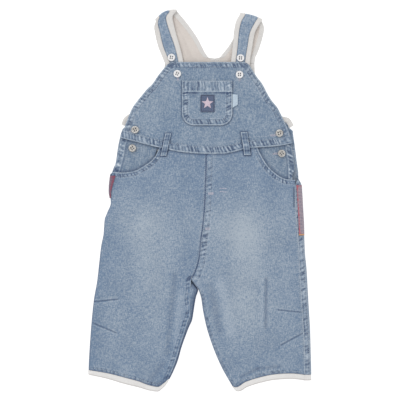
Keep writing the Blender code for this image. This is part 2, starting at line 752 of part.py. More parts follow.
def build_back_bib():
    left, right = back_side("left"), back_side("right")
    points = between(left, right, np.linspace(0, 1, BACK_BIB_COLUMNS), 0)
    shell("back_bib", points, points + [0, 0, BACK_CLOTH], "denim")
    lining = between(left, right, np.linspace(0.01, 0.99, BACK_BIB_COLUMNS), BACK_CLOTH + CLEAR)
    shell("back_lining", lining + [0, 0, JERSEY], lining, "jersey")


def build_armhole_binding(leg):
    outer = resampled(ARMHOLE[leg], ARMHOLE_ROWS)
    inner = inset(outer, BINDING_WIDTH, -OUTWARD[leg])
    outer[0, 1] = BACK_TOP
    inner[0, 1] = BACK_TOP
    base = between(outer, inner, [0, 0.5, 1], 0)
    top = base.copy()
    top[..., 2] += DENIM + JERSEY + BINDING_RAISE - ROUNDED_CORNER * np.array([1, 0, 1])
    shell(f"armhole_binding_{leg}", top, base, "jersey")


def strap_rows(side):
    """Rows of a strap: left and right edge in plan, height of its middle layer, and its outward way.

    The back lies with its outer face down. The strap turns over at the shoulder, so that the same
    face is up on the front.
    """
    radius = (STRAP_FRONT_HEIGHT - STRAP_BACK_HEIGHT) / 2
    reach = radius + STRAP_HALF + BINDING_RAISE
    fold = np.array(STRAP_FOLD[side], float).reshape(2, 2)
    run = fold[1] - fold[0]
    outward = np.array([-run[1], run[0]]) / np.hypot(*run)
    fold = fold - outward * reach
    rows = []
    back = strap_edges(STRAP_BACK[side] + [fold.ravel()], STRAP_BACK_ROWS)[:-1]
    front = strap_edges([fold.ravel()] + STRAP_FRONT[side], STRAP_FRONT_ROWS)[1:]
    for edges in back:
        rows.append((edges, STRAP_BACK_HEIGHT, np.array([0, 0, -1.0])))
    for angle in np.radians(np.linspace(-90, 90, STRAP_FOLD_ROWS)):
        shift = np.tile(outward, 2) * radius * math.cos(angle)
        height = STRAP_BACK_HEIGHT + radius * (1 + math.sin(angle))
        way = np.append(outward * math.cos(angle), math.sin(angle))
        rows.append((fold.ravel() + shift, height, way))
    for edges in front:
        rows.append((edges, STRAP_FRONT_HEIGHT, np.array([0, 0, 1.0])))
    return rows


def strap_edges(rows, count):
    """A strap's edges, spread evenly over its rows: left x and y, right x and y."""
    index = np.arange(len(rows))
    at = np.linspace(0, index[-1], count)
    return np.stack([smooth(list(zip(index, values)), at) for values in zip(*rows)], axis=1)


def strap_layer(rows, start, end, offsets):
    """Points of one layer of a strap, between two distances in from its left edge.

    A distance below zero is measured from the right edge. Offsets gives, for each column, how far
    out from the strap's middle layer it lies, for a row whose outward way is known.
    """
    points = []
    for edges, height, way in rows:
        left, right = edges[:2], edges[2:]
        width = np.hypot(*(right - left))
        across = (right - left) / width
        near, far = (distance if distance >= 0 else width + distance for distance in (start, end))
        distances = np.linspace(near, far, len(offsets(way)))
        plan = left + across * distances[:, None]
        middle = np.column_stack([plan, np.full(len(plan), height)])
        points.append(middle + way * offsets(way)[:, None])
    return np.array(points)


def build_strap(side):
    """Denim outside, lining inside, and a binding along each edge, all turned over at the shoulder."""
    rows = strap_rows(side)
    bound = BINDING_WIDTH + GAP

    def cloth(offset):
        return strap_layer(rows, bound, -bound, lambda way: np.full(STRAP_COLUMNS, offset))

    shell(f"strap_{side}", cloth(STRAP_HALF), cloth(GAP / 2), "denim")
    shell(f"strap_lining_{side}", cloth(-GAP / 2), cloth(-STRAP_HALF), "jersey")

    def binding_outer(way):
        on_front = (way[2] + 1) / 2
        return STRAP_HALF + (BINDING_RAISE - ROUNDED_CORNER * np.array([1, 0, 1])) * on_front

    def binding_inner(way):
        return -STRAP_HALF - BINDING_RAISE + ROUNDED_CORNER * np.array([1, 0, 1])

    for edge, start, end in (("left", 0, BINDING_WIDTH), ("right", -BINDING_WIDTH, -NO_DISTANCE)):
        outer = strap_layer(rows, start, end, binding_outer)
        inner = strap_layer(rows, start, end, binding_inner)
        place = "outer" if edge == side else "inner"
        shell(f"strap_binding_{place}_{side}", outer, inner, "jersey")


# Buttons

def circle(radius, height, count, start=0.0):
    """Points spread round a circle."""
    angles = [start + 2 * math.pi * step / count for step in range(count)]
    return [(radius * math.cos(angle), radius * math.sin(angle), height) for angle in angles]


def turned_button():
    """A button with a raised rim, a dished middle and four holes."""
    radius = BUTTON_DIAMETER / 2
    dish = BUTTON_THICKNESS - BUTTON_DISH_DEPTH
    profile = [
        (0, 0), (radius * 0.86, 0), (radius, BUTTON_THICKNESS * 0.45),
        (radius * 0.93, BUTTON_THICKNESS * 0.9), (radius * 0.82, BUTTON_THICKNESS),
        (BUTTON_DISH_RADIUS, dish), (0, dish),
    ]
    work = bmesh.new()
    rings = []
    for distance, height in profile:
        count = BUTTON_SIDES if distance else 1
        rings.append([work.verts.new(spot) for spot in circle(distance * MM, height * MM, count)])
    for lower, upper in zip(rings, rings[1:]):
        for step in range(BUTTON_SIDES):
            after = (step + 1) % BUTTON_SIDES
            if len(lower) == 1:
                work.faces.new((lower[0], upper[after], upper[step]))
            elif len(upper) == 1:
                work.faces.new((lower[step], lower[after], upper[0]))
            else:
                work.faces.new((lower[step], lower[after], upper[after], upper[step]))
    bmesh.ops.recalc_face_normals(work, faces=work.faces)
    mesh = bpy.data.meshes.new("button_blank")
    work.to_mesh(mesh)
    work.free()
    return mesh


def hole_cutter():
    """Rods that pass through a button where its holes are."""
    work = bmesh.new()
    for spot in circle(BUTTON_HOLE_RADIUS * MM, 0, BUTTON_HOLES, start=math.pi / BUTTON_HOLES):
        made = bmesh.ops.create_cone(
            work, cap_ends=True, segments=6, radius1=BUTTON_HOLE_DIAMETER / 2 * MM,
            radius2=BUTTON_HOLE_DIAMETER / 2 * MM, depth=BUTTON_THICKNESS * 3 * MM,
        )
        bmesh.ops.translate(work, verts=made["verts"], vec=spot)
    mesh = bpy.data.meshes.new("button_holes")
    work.to_mesh(mesh)
    work.free()
    return mesh


def drilled_button_mesh():
    blank = bpy.data.objects.new("button_blank", turned_button())
    cutter = bpy.data.objects.new("button_holes", hole_cutter())
    for piece in (blank, cutter):
        bpy.context.scene.collection.objects.link(piece)
    drill = blank.modifiers.new("Holes", "BOOLEAN")
    drill.operation = "DIFFERENCE"
    drill.object = cutter
    bpy.context.view_layer.update()
    graph = bpy.context.evaluated_depsgraph_get()
    mesh = bpy.data.meshes.new_from_object(blank.evaluated_get(graph))
    for piece in (blank, cutter):
        bpy.data.objects.remove(piece)
    return mesh


def build_buttons():
    pattern = drilled_button_mesh()
    meshes = {}
    for name, x, y, finish in BUTTONS:
        if finish not in meshes:
            meshes[finish] = pattern.copy()
        piece = add_object(name, meshes[finish], finish)
        piece.location = (x * MM, y * MM, button_seat(name, x, y) * MM)


def button_seat(name, x, y):
    """Height of a button's underside: just over the strap, the pocket facing or the bib."""
    if name.startswith("button_strap"):
        return STRAP_FRONT_HEIGHT + STRAP_HALF + CLEAR
    edge = np.array(circle(BUTTON_DIAMETER / 2, 0, BUTTON_SIDES))
    height = front_height(x + edge[:, 0], y + edge[:, 1]).max() + CLEAR
    if name.endswith("lower"):
        return height - FACING_DEPTH + FACING_RISE / 2
    return height + (HEM_RAISE if name.endswith("upper") else 0)


def clear_scene():
    for piece in list(bpy.data.objects):
        bpy.data.objects.remove(piece)


def main():
    clear_scene()
    for leg in ("left", "right"):
        build_front_leg(leg)
        build_back_leg(leg)
        build_cuffs(leg)
        build_side_tape(leg)
        build_hip_facing(leg)
        build_belt_loop(leg)
        build_armhole_binding(leg)
        build_strap(leg)
    build_bib()
    build_waist_band()
    build_pocket()
    build_flat_piece("pocket_patch", PATCH, CLEAR + POCKET_CLOTH + CLEAR, JERSEY, "navy")
    build_flat_piece("pocket_tab", TAB, CLEAR, FOLDED_TAB, "sky", slant=-0.8)
    build_back_bib()
    build_buttons()


main()
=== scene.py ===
"""Looks of a child's denim dungarees laid flat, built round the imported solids.

Sizes are in millimetres unless said otherwise. X runs across, Y up to the shoulders, and Z = 0 is the
surface that the garment lies on. Left and right are as seen from above.
"""

import math

import bmesh
import bpy
import numpy as np
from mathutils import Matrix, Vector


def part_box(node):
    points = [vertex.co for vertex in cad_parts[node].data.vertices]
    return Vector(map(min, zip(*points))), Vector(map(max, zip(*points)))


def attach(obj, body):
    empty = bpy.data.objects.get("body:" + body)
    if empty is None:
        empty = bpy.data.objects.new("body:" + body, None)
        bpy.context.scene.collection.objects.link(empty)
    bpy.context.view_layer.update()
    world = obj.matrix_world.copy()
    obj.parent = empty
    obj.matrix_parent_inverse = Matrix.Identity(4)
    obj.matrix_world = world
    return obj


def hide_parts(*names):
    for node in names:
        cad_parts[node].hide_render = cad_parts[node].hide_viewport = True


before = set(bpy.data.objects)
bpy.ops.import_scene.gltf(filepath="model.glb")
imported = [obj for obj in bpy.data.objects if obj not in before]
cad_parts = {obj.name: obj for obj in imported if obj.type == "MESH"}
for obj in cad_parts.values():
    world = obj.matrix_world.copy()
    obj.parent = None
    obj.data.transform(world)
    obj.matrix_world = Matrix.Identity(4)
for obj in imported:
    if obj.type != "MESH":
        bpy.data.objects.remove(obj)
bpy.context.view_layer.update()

MM = 0.001

# Thicknesses of cloth, and the room between pieces
DENIM = 1.3
JERSEY = 1.0
WEBBING = 0.9
FOLDED_TAB = 1.6
GAP = 0.3
CLEAR = 0.35
BAND_CLEAR = 0.45
POCKET_CLOTH = 1.2
BACK_CLOTH = 1.2
FACING = 1.2

# Sizes of sewn parts
HEM_WIDTH = 7.5
HEM_RAISE = 0.5
BINDING_WIDTH = 7.0
BINDING_RAISE = 0.4
WAIST_BAND_HEIGHT = 11.0
WAIST_BAND_THICKNESS = 1.1
WAIST_JOIN = 0.8
POCKET_BAND_HEIGHT = 16.0
CUFF_RAISE = 0.4
FACING_UNDERLAP = 6.0
FACING_DEPTH = DENIM + 2 * GAP
FACING_RISE = 0.9
FACING_RISE_REACH = 6.0
FACING_INSET = 3.4
BELT_LOOP = 1.2
LINING_INSET = 9.0
ROUNDED_CORNER = 0.5

# Heights above the surface
STRAP_FRONT_HEIGHT = 4.85
STRAP_BACK_HEIGHT = 1.15
STRAP_HALF = JERSEY + GAP / 2
BACK_WAIST = 72.5
BACK_TOP = 198.2

# Top edge of the bib, and the places between which the rows of each leg are level
BIB_TOP = 199.5
LEVEL_TOP = 20.0
LEVEL_BOTTOM = -235.0

# Where the legs part, for the height of their edges, their plan and the shade on them
PARTING = (-108, -130)
PARTING_IN_PLAN = (-109, -115)
PARTING_IN_SHADE = (-112, -116)

# Least and greatest wear, where a value below zero is painted shade and a value above it is wear with
# painted light
SEAM_WEAR_AND_SHADE = (-1.4, 1.2)
BIB_WEAR_AND_SHADE = (-1.2, 1.1)

# Buttons
BUTTON_DIAMETER = 11.0
BUTTON_THICKNESS = 2.5
BUTTON_HOLE_RADIUS = 1.9
BUTTON_HOLE_DIAMETER = 1.5

# Place along the garment, then x: where the outline of the whole lies
OUTLINE = {
    "left": [
        (110, -111), (95, -115), (76, -119), (53, -122.5), (46, -125.5), (32, -129.5), (14, -131),
        (-4, -129), (-19, -134.5), (-29, -138), (-49, -139.5), (-67, -143), (-93, -146),
        (-119, -149), (-141, -153), (-167, -156), (-197, -158.5), (-228, -160.5), (-262, -162),
    ],
    "right": [
        (110, 133.5), (90, 136.5), (72, 139), (56, 141), (34, 144.5), (20, 148), (-6, 149.5),
        (-32, 151), (-75, 152.5), (-101, 155), (-136, 157), (-162, 158.5), (-188, 160), (-262, 162),
    ],
}

# Place along the garment, then x: sides of the bib and of the front below it, down to the side seams
FRONT_EDGE = {
    "left": [
        (199.5, -40), (196.5, -46), (190, -52), (177, -62), (168, -68), (159.5, -76.5), (151, -83.5),
        (142, -91), (133.5, -97), (125, -101), (106, -108.5), (90.5, -113.5), (75, -117.5),
        (61, -120), (46, -124), (32, -129.5),
    ],
    "right": [
        (199.5, 65), (196.5, 70), (190, 74.5), (177, 83), (168, 90), (159.5, 94.5), (151, 99),
        (142, 105), (133.5, 112), (125, 116.5), (114.5, 121.5), (97, 129), (82.5, 132.5),
        (67, 135), (53, 137), (42, 140.5), (32, 145),
    ],
}

# Place along the garment, then x: the line that the front rounds down to, all the way to the hem
ROUNDED_EDGE = {
    side: edge + [row for row in OUTLINE[side] if row[0] < edge[-1][0]]
    for side, edge in FRONT_EDGE.items()
}

# Place along the garment, then x: the outer edge of each pocket facing
FACING_EDGE = {
    "left": FRONT_EDGE["left"],
    "right": [(90, 131), (82.5, 132.5), (67, 135), (53, 137), (40, 137.5), (20, 137.5)],
}

# Place along the garment, then x: the seam where front and back meet at the side
SIDE_SEAM = {
    "left": OUTLINE["left"],
    "right": [
        (60, 136), (53, 137), (40, 138), (19, 138), (-9, 138), (-54, 141), (-111, 144),
        (-166, 147.5), (-222, 150.5), (-262, 151),
    ],
}

# Which way is out from the middle, and where each side placket closes into the side seam
OUTWARD = {"left": -1, "right": 1}
PLACKET_END = {"left": (48, 32), "right": (42, 20)}

# Place along the garment, then x: the centre front seam, down to where the legs part
CENTRE_SEAM = [
    (70, 9), (54, 9), (35, 8.5), (6, 7.5), (-19, 6), (-43, 3.5), (-55, 1.5), (-83, -1), (-103, -6.5),
    (-114, -12),
]

# Place along the garment, then x: the inseam of the front, and the inner outline of each leg
INSEAM = {
    "left": CENTRE_SEAM + [
        (-122, -13), (-131, -13), (-141, -15), (-157, -13.5), (-167, -14), (-175, -17),
        (-190, -21.5), (-206, -27), (-223, -32), (-241, -38), (-262, -47),
    ],
    "right": CENTRE_SEAM + [
        (-123, -7.5), (-130, -2), (-142, 2), (-159, 4.5), (-181, 9), (-210, 18), (-241, 31),
        (-261, 42), (-276, 51),
    ],
}
INNER_OUTLINE = {
    "left": CENTRE_SEAM + [
        (-123, -7.55), (-126.5, -4.7), (-130, -2.3), (-141, -5.5), (-149, -7), (-162, -9),
        (-174, -11), (-184, -15.5),
        (-197, -20.5), (-214, -26.5), (-232, -31.5), (-249, -38.5), (-265, -46.5),
    ],
    "right": INSEAM["right"],
}

# Share of the way from the inseam to the side seam, then place along the garment: the denim's hem
HEM = {
    "left": [
        (0, -259), (0.06, -266), (0.12, -270), (0.2, -268.5), (0.37, -262), (0.54, -257),
        (0.78, -250), (1, -245.5),
    ],
    "right": [
        (0, -268), (0.03, -270.5), (0.2, -263), (0.4, -256.5), (0.6, -252), (0.8, -250.5),
        (1, -252.5),
    ],
}
CUFF_HEIGHT = {
    "left": [(0, 5.5), (0.12, 7), (0.5, 9), (1, 7)],
    "right": [(0, 6), (0.3, 7.5), (1, 8.5)],
}

# X, then place along the garment: the seam under the waist band, and the pockets' scooped mouths
WAIST_SEAM = [
    (-116, 90), (-92, 84), (-65, 77.5), (-44, 73), (-21, 69), (9, 67), (34, 67), (48, 69.5),
    (60, 72.5), (76, 75.5), (100, 77), (122, 79.5), (134, 82),
]
SCOOP = {
    "left": [(0.52, 79), (0.54, 72), (0.57, 63), (0.655, 51.5), (0.76, 42), (0.88, 39.5), (1, 41)],
    "right": [(0.57, 80), (0.59, 72), (0.62, 63), (0.69, 47.5), (0.785, 35.5), (0.88, 30), (1, 29)],
}
SCOOP_START = {"left": -62.0, "right": 82.5}

# Place along the garment, then height: the front's middle, its rounded rim, and how far in it rounds
CROWN = [(200, 8.5), (150, 8.5), (80, 8.8), (20, 9.4), (-100, 9.6), (-200, 9.2), (-262, 8.8)]
RIM = [(200, 8.4), (180, 8.0), (150, 6.6), (120, 5.8), (60, 5.4), (46, 4.8), (34, 4.2), (-262, 4.2)]
ROUNDING = [(200, 12), (120, 12), (60, 9), (36, 6), (-262, 6)]

# The largest folds: x and y of both ends, width and height, where a height below zero is a hollow
FOLDS = [
    (-150, -147, -119, -143.5, 6, -1.1),
    (-150, -178, -121, -192, 6, -1.1),
    (152, -162.5, 113.5, -159, 6, -1.1),
    (147, -193, 117, -210, 6, -1.1),
    (96, -110, 96, -187, 5, 0.7),
    (-18, -108, -62, -74, 9, 0.8),
    (8, -112, 52, -86, 9, 0.8),
    (-132, -168, -100, -168, 14, 0.6),
    (135, -184, 100, -184, 14, 0.6),
]

# Stitched knee darts: x and y of both ends
DARTS = [
    (-153, -147, -119, -143.5), (-154, -178, -121, -192), (154, -163, 113.5, -159),
    (148.5, -193, 117, -210),
]

# Soft creases, painted as shade in their hollows and as light on their ridges: x and y of both ends, width
# and height
CREASES = [
    (136.4, 17, 136.6, -9, 1.3, -1.2), (96, -114, 95, -184, 2.4, -0.85),
    (91, -112, 90, -180, 3.0, 0.25), (60, -256, 84, -244, 2.4, -0.7),
    (84, -244, 116, -241, 2.4, -0.6), (-70, -258, -52, -236, 4, -0.4), (-27, -135, -35, -205, 5, 0.35),
    (-36, -108, -47, -222, 4.5, -0.45), (30, -120, 44, -190, 9, 0.5), (16, -124, 30, -190, 6, -0.4),
]

# Rows of each strap, from the back up to the shoulder: left edge x and y, right edge x and y
STRAP_BACK = {
    "left": [
        (-50.5, 198.5, 22.6, 198.5), (-50.5, 204.5, 22.0, 205.4), (-50.5, 208, 13.5, 206.8),
        (-50.5, 214, 8.5, 212.5), (-53, 235, -4, 236),
        (-59, 250, -19.5, 258),
    ],
    "right": [
        (22.9, 198.5, 79.5, 198.5), (22.3, 205.4, 80.3, 204.5), (28.5, 207, 81, 208),
        (33.5, 212.5, 83, 212), (47, 231, 90, 232),
        (55.5, 252, 93.5, 249),
    ],
}
STRAP_FOLD = {"left": (-65, 262.5, -34.5, 277), "right": (59, 272, 91, 263)}

# How far the shoulder fold bows out, and how much wider its inner binding gets there
STRAP_BULGE = {"left": 4.6, "right": 1.8}
BINDING_WIDENS = {"left": 0.42, "right": 0.05}
STRAP_FRONT = {
    "left": [
        (-66, 250, -39.5, 265), (-64, 238, -34.5, 242), (-60.5, 223.5, -29.5, 225),
        (-54, 207, -25.5, 209), (-49, 194.5, -23, 197), (-43, 177, -17, 180), (-37.5, 162.5, -12.5, 165.5),
    ],
    "right": [
        (52.5, 258, 86, 254), (49.5, 242, 79.5, 241), (48, 225, 76.5, 223.5),
        (46, 207, 73.5, 206), (44.5, 194, 72, 193), (42.5, 177, 70, 175.5), (41, 162.5, 68.5, 161),
    ],
}

# Outer edge of each armhole of the back, from the strap down to the side, as x and y
ARMHOLE = {
    "left": [
        (-50.5, 198), (-54.5, 177), (-63.5, 160), (-76.5, 145), (-91, 131), (-109.5, 119.8), (-114, 110),
    ],
    "right": [
        (79.5, 198), (80.5, 177), (87.5, 160), (97, 145), (106.5, 131.5), (117, 122.3), (129.5, 119),
        (136.5, 108.5),
    ],
}
UNDERARM_CORNER = (5, -4)

# Bib pocket with its patch and tab
POCKET = {"left": -25.5, "right": 47.0, "top": 172.3, "bottom": 108.0, "corner": 17.0}
PATCH = {"left": 1.0, "right": 21.5, "top": 152.0, "bottom": 127.0}
TAB = {"left": 47.4, "right": 55.0, "top": 153.0, "bottom": 133.4}

# Belt loops: middle of the upper end, middle of the lower end, width
BELT_LOOPS = {"left": (-45.5, 96, -52.5, 64, 8.0), "right": (64, 98, 69, 65, 9.0)}

# Side tapes: place of the two ends, then quarter turns round the edge: outer side, inner side at each end
SIDE_TAPES = {"left": (35.0, 3.0, 0.06, 1.2, 0.5), "right": (21.5, -51.0, 0.4, 1.4, 1.4)}

# Faded patches of the legs: x, y, reach across, reach along, strength
FADES = [
    (-72, -34, 32, 28, 0.3), (-72, -80, 32, 50, 0.26), (-66, -140, 24, 45, 0.14),
    (63, -46, 36, 30, 0.45), (66, -110, 30, 60, 0.32), (72, -170, 26, 40, 0.16), (0, -40, 30, 30, 0.1),
]

# Share of a front panel's columns that round each edge, room at the seams, and the least turn of an edge
SHARE_OF_EDGE = 0.05
SEAM_TURN_GAP = 0.012
SEAM_ROOM = 0.03
LEAST_EDGE_TURN = 0.4


# Curves, noise and surfaces

def smooth(table, at):
    """Value at a place along a table of (place, value), on a curve that never overshoots its points."""
    places, values = np.array(sorted(table), float).T
    secants = np.diff(values) / np.diff(places)
    before, after = secants[:-1], secants[1:]
    same_way = before * after > 0
    total = np.where(same_way, before + after, 1)
    inner_slopes = np.where(same_way, 2 * before * after / total, 0)
    slopes = np.concatenate([secants[:1], inner_slopes, secants[-1:]])
    at = np.clip(np.asarray(at, float), places[0], places[-1])
    left = np.clip(np.searchsorted(places, at) - 1, 0, len(places) - 2)
    span = places[left + 1] - places[left]
    t = (at - places[left]) / span
    start = values[left] * (2 * t**3 - 3 * t**2 + 1)
    end = values[left + 1] * (3 * t**2 - 2 * t**3)
    leaving = slopes[left] * span * (t**3 - 2 * t**2 + t)
    arriving = slopes[left + 1] * span * (t**3 - t**2)
    return start + end + leaving + arriving


def ease(start, end, at):
    """0 before start, 1 past end, and smooth between them."""
    t = np.clip((np.asarray(at, float) - start) / (end - start), 0, 1)
    return t * t * (3 - 2 * t)


def bump(middle, reach, at):
    """1 at the middle, falling smoothly to 0 at the reach on either side."""
    return ease(1, 0, np.abs(np.asarray(at, float) - middle) / reach)


def noise_1d(at, seed):
    """Smooth values from -1 to 1 that change about once per whole number."""
    values = np.random.RandomState(seed).uniform(-1, 1, 512)
    base = np.floor(at).astype(int)
    t = at - base
    t = t * t * (3 - 2 * t)
    return values[base % 512] * (1 - t) + values[(base + 1) % 512] * t


def noise_2d(x, y, seed):
    values = np.random.RandomState(seed).uniform(-1, 1, (64, 64))
    i, j = np.floor(x).astype(int), np.floor(y).astype(int)
    s, t = x - i, y - j
    s, t = s * s * (3 - 2 * s), t * t * (3 - 2 * t)
    near = values[i % 64, j % 64] * (1 - s) + values[(i + 1) % 64, j % 64] * s
    far = values[i % 64, (j + 1) % 64] * (1 - s) + values[(i + 1) % 64, (j + 1) % 64] * s
    return near * (1 - t) + far * t


def edge_drop(distance, radius):
    """1 on an edge and 0 once past the radius, along a quarter of an ellipse."""
    t = np.clip(distance / radius, 0, 1)
    return 1 - np.sqrt(1 - (1 - t) ** 2)


def beside_run(x, y, run, width):
    """How near each place is to a straight run between two ends: 1 on it, falling off with width."""
    x_start, y_start, x_end, y_end = run
    step = np.array([x_end - x_start, y_end - y_start])
    length = np.hypot(*step)
    along = ((x - x_start) * step[0] + (y - y_start) * step[1]) / length
    aside = ((x - x_start) * step[1] - (y - y_start) * step[0]) / length
    past_end = np.maximum(np.maximum(-along, along - length), 0)
    return np.exp(-(aside**2 + past_end**2) / width**2), aside


def fold_height(x, y):
    total = np.zeros(np.broadcast(x, y).shape)
    for *run, width, height in FOLDS:
        total += height * beside_run(x, y, run, width)[0]
    return total


def front_height(x, y, leg=None):
    """Height of the front's outer face. With a leg given, it rounds down to the inseam as well."""
    x, y = np.asarray(x, float), np.asarray(y, float)
    crown = smooth(CROWN, y) + fold_height(x, y)
    rim = smooth(RIM, y)
    radius = smooth(ROUNDING, y)
    from_left = x - smooth(ROUNDED_EDGE["left"], y)
    from_right = smooth(ROUNDED_EDGE["right"], y) - x
    drop = np.maximum(edge_drop(from_left, radius), edge_drop(from_right, radius))
    if leg:
        from_inside = (x - smooth(INNER_OUTLINE[leg], y)) * OUTWARD[leg]
        drop = np.maximum(drop, edge_drop(from_inside, radius) * legs_parted(y))
    return crown - (crown - rim) * drop


def legs_parted(y):
    """0 above the crotch and 1 once the two legs are apart."""
    return ease(*PARTING, y)


def side_closed(leg, y):
    """0 beside the open placket, where the back lies flat, and 1 where the side seam has begun."""
    return ease(*PLACKET_END[leg], y)


def distances_along(line):
    """How far along a line of x and y points each of them lies."""
    return np.concatenate([[0], np.cumsum(np.hypot(*np.diff(line, axis=0).T))])


def beside(line, x, y):
    """How far along a line each place lies, and how far to the line's left."""
    line = np.asarray(line, float)
    steps = np.diff(line, axis=0)
    nearest = np.full(np.shape(x), np.inf)
    along = np.zeros(np.shape(x))
    aside = np.zeros(np.shape(x))
    for start, step, length, before in zip(line, steps, np.hypot(*steps.T), distances_along(line)):
        dx, dy = x - start[0], y - start[1]
        t = np.clip((dx * step[0] + dy * step[1]) / length**2, 0, 1)
        away = np.hypot(dx - t * step[0], dy - t * step[1])
        nearer = away < nearest
        nearest = np.where(nearer, away, nearest)
        along = np.where(nearer, before + t * length, along)
        aside = np.where(nearer, np.sign(step[0] * dy - step[1] * dx) * away, aside)
    return along, aside


def resampled(points, count):
    """Points of a route, spread evenly along it on a smooth curve."""
    points = np.array(points, float)
    places = distances_along(points)
    at = np.linspace(0, places[-1], count)
    return np.stack([smooth(list(zip(places, points[:, axis])), at) for axis in (0, 1)], axis=1)


def left_of(line):
    """Unit vectors towards a line's left, one for each of its points."""
    run = np.gradient(np.asarray(line, float), axis=0)
    side = np.stack([-run[:, 1], run[:, 0]], axis=1)
    return side / np.linalg.norm(side, axis=1, keepdims=True)


def beside_line(line, distance):
    """A line moved to its left by a distance."""
    return line + left_of(line) * distance


def inset(line, distance, towards):
    """A line moved sideways, towards +x or -x."""
    side = left_of(line)
    return line + side * np.sign(side[:, :1] * towards) * distance


def off_line(table, x, y):
    """How far in x each place lies from a line that is given as (place along the garment, x)."""
    return np.abs(x - smooth(table, y))


def above_waist(x, y):
    """How far above the seam under the waist band each place lies."""
    return y - smooth(WAIST_SEAM, x)


def rolled(share):
    """1 across the middle of a binding, falling to 0 at both of its edges."""
    return 1 - np.abs(2 * share - 1) ** 3


def upright(table, start, end, count=40):
    """Points of a line that is given as (place along the garment, x)."""
    y = np.linspace(start, end, count)
    return np.stack([smooth(table, y), y], axis=1)


# Seams: each has a line with its puckered side to the left, and what the sewing does to the cloth

def distance_at(turn, radius):
    """How far in from the outline a place round a tube's edge lies, in quarter turns from the outline."""
    angle = np.clip(turn, -1, 1) * math.pi / 2
    return radius * (1 - np.cos(angle)) + radius * np.maximum(turn - 1, 0)


def height_at(turn, rim, crown):
    """Height of a place round the edge."""
    angle = np.clip(turn, -1, 1) * math.pi / 2
    return np.where(turn < 0, rim * (1 + np.sin(angle)), rim + (crown - rim) * np.sin(angle))


def turn_at(distance, radius):
    """The place on the tube's top that is this far in from the outline."""
    inside = np.arccos(np.clip(1 - distance / radius, 0, 1)) * 2 / math.pi
    return np.where(distance < radius, inside, distance / radius)


def seam_turns(leg, y):
    """Quarter turns at which the inseam and the side seam lie."""
    radius = smooth(ROUNDING, y)
    inseam = abs(smooth(INSEAM[leg], y) - smooth(INNER_OUTLINE[leg], y))
    side = abs(smooth(OUTLINE[leg], y) - smooth(SIDE_SEAM[leg], y))
    return turn_at(inseam, radius), turn_at(side, radius)


def front_across(leg, share, y):
    """X at a share of the way across the front panel, closer together round each edge."""
    radius = smooth(ROUNDING, y)
    inner_turn, side_turn = seam_turns(leg, y)

    def round_inside(step):
        turn = inner_turn + SEAM_TURN_GAP + step * np.maximum(1 - inner_turn, LEAST_EDGE_TURN)
        return smooth(INNER_OUTLINE[leg], y) + OUTWARD[leg] * (distance_at(turn, radius) + SEAM_ROOM)

    def round_outside(step):
        turn = side_turn + SEAM_TURN_GAP + step * np.maximum(1 - side_turn, LEAST_EDGE_TURN)
        return smooth(OUTLINE[leg], y) - OUTWARD[leg] * distance_at(turn, radius)

    near = round_inside(np.clip(share / SHARE_OF_EDGE, 0, 1))
    far = round_outside(np.clip((1 - share) / SHARE_OF_EDGE, 0, 1))
    spread = np.clip((share - SHARE_OF_EDGE) / (1 - 2 * SHARE_OF_EDGE), 0, 1)
    middle = near + (far - near) * spread
    return np.where(share < SHARE_OF_EDGE, near, np.where(share > 1 - SHARE_OF_EDGE, far, middle))


def hem_line(leg, start=0.0, end=1.0):
    share = np.linspace(start, end, 40)
    y = smooth(HEM[leg], share)
    line = np.stack([front_across(leg, share, y), y], axis=1)
    return line[::OUTWARD[leg]]


def scoop_line(leg):
    share = np.linspace(SCOOP[leg][0][0], 1, 40)
    y = smooth(SCOOP[leg], share)
    line = np.stack([front_across(leg, share, y), y], axis=1)
    return line if leg == "left" else line[::-1]


def pocket_line():
    corner = POCKET["corner"]
    turns = np.linspace(0, math.pi / 2, 8)
    left, right, bottom = POCKET["left"], POCKET["right"], POCKET["bottom"]
    down = [(left, POCKET["top"]), (left, bottom + corner)]
    first = [(left + corner * (1 - math.cos(a)), bottom + corner * (1 - math.sin(a))) for a in turns[1:]]
    second = [(right - corner * (1 - math.sin(a)), bottom + corner * (1 - math.cos(a))) for a in turns]
    return np.array(down + first + second + [(right, POCKET["top"])])


def bib_edge_line(side):
    line = upright(FRONT_EDGE[side], BIB_TOP, 84)
    return line if side == "left" else line[::-1]


waist_x = np.linspace(-118, 136, 80)
WAIST_LINE = np.stack([waist_x, smooth(WAIST_SEAM, waist_x)], axis=1)

# Line, width of the puckered band, height of the puckers, their length, strength of wear with painted light
# and shade, seed
SEAMS = {
    "bib_top": (np.array([(65.0, BIB_TOP), (12.0, 199.3), (-40.0, BIB_TOP)]), 7.0, 0.36, 6.2, 1.25, 11),
    "bib_left": (bib_edge_line("left"), 7.6, 0.36, 5.2, 1.2, 12),
    "bib_right": (bib_edge_line("right"), 7.6, 0.36, 5.2, 1.2, 13),
    "waist": (WAIST_LINE, 9.6, 0.4, 4.9, 1.25, 14),
    "pocket": (pocket_line(), 8.0, 0.42, 4.8, 1.55, 15),
    "scoop_left": (scoop_line("left"), 6.4, 0.24, 4.0, 1.15, 16),
    "scoop_right": (scoop_line("right"), 6.4, 0.24, 4.0, 1.15, 17),
    "centre_right": (upright(CENTRE_SEAM, 66, -112), 9.0, 0.32, 6.2, 0.95, 18),
    "centre_left": (upright(CENTRE_SEAM, -112, 66), 2.4, 0.14, 6.4, 0.4, 19),
    "hem_left": (hem_line("left"), 4.6, 0.2, 5.6, 0.65, 20),
    "hem_right": (hem_line("right"), 4.6, 0.2, 5.6, 0.65, 21),
    "inseam_left": (upright(INSEAM["left"], -268, -116), 6.4, 0.28, 6.0, 0.8, 22),
    "inseam_right": (upright(INSEAM["right"], -130, -268), 5.0, 0.22, 6.0, 0.6, 23),
    "side_right": (upright(SIDE_SEAM["right"], 50, -250), 7.6, 0.34, 5.8, 1.3, 24),
    "side_left": (upright(OUTLINE["left"], -246, 30), 4.0, 0.22, 5.6, 0.6, 25),
}


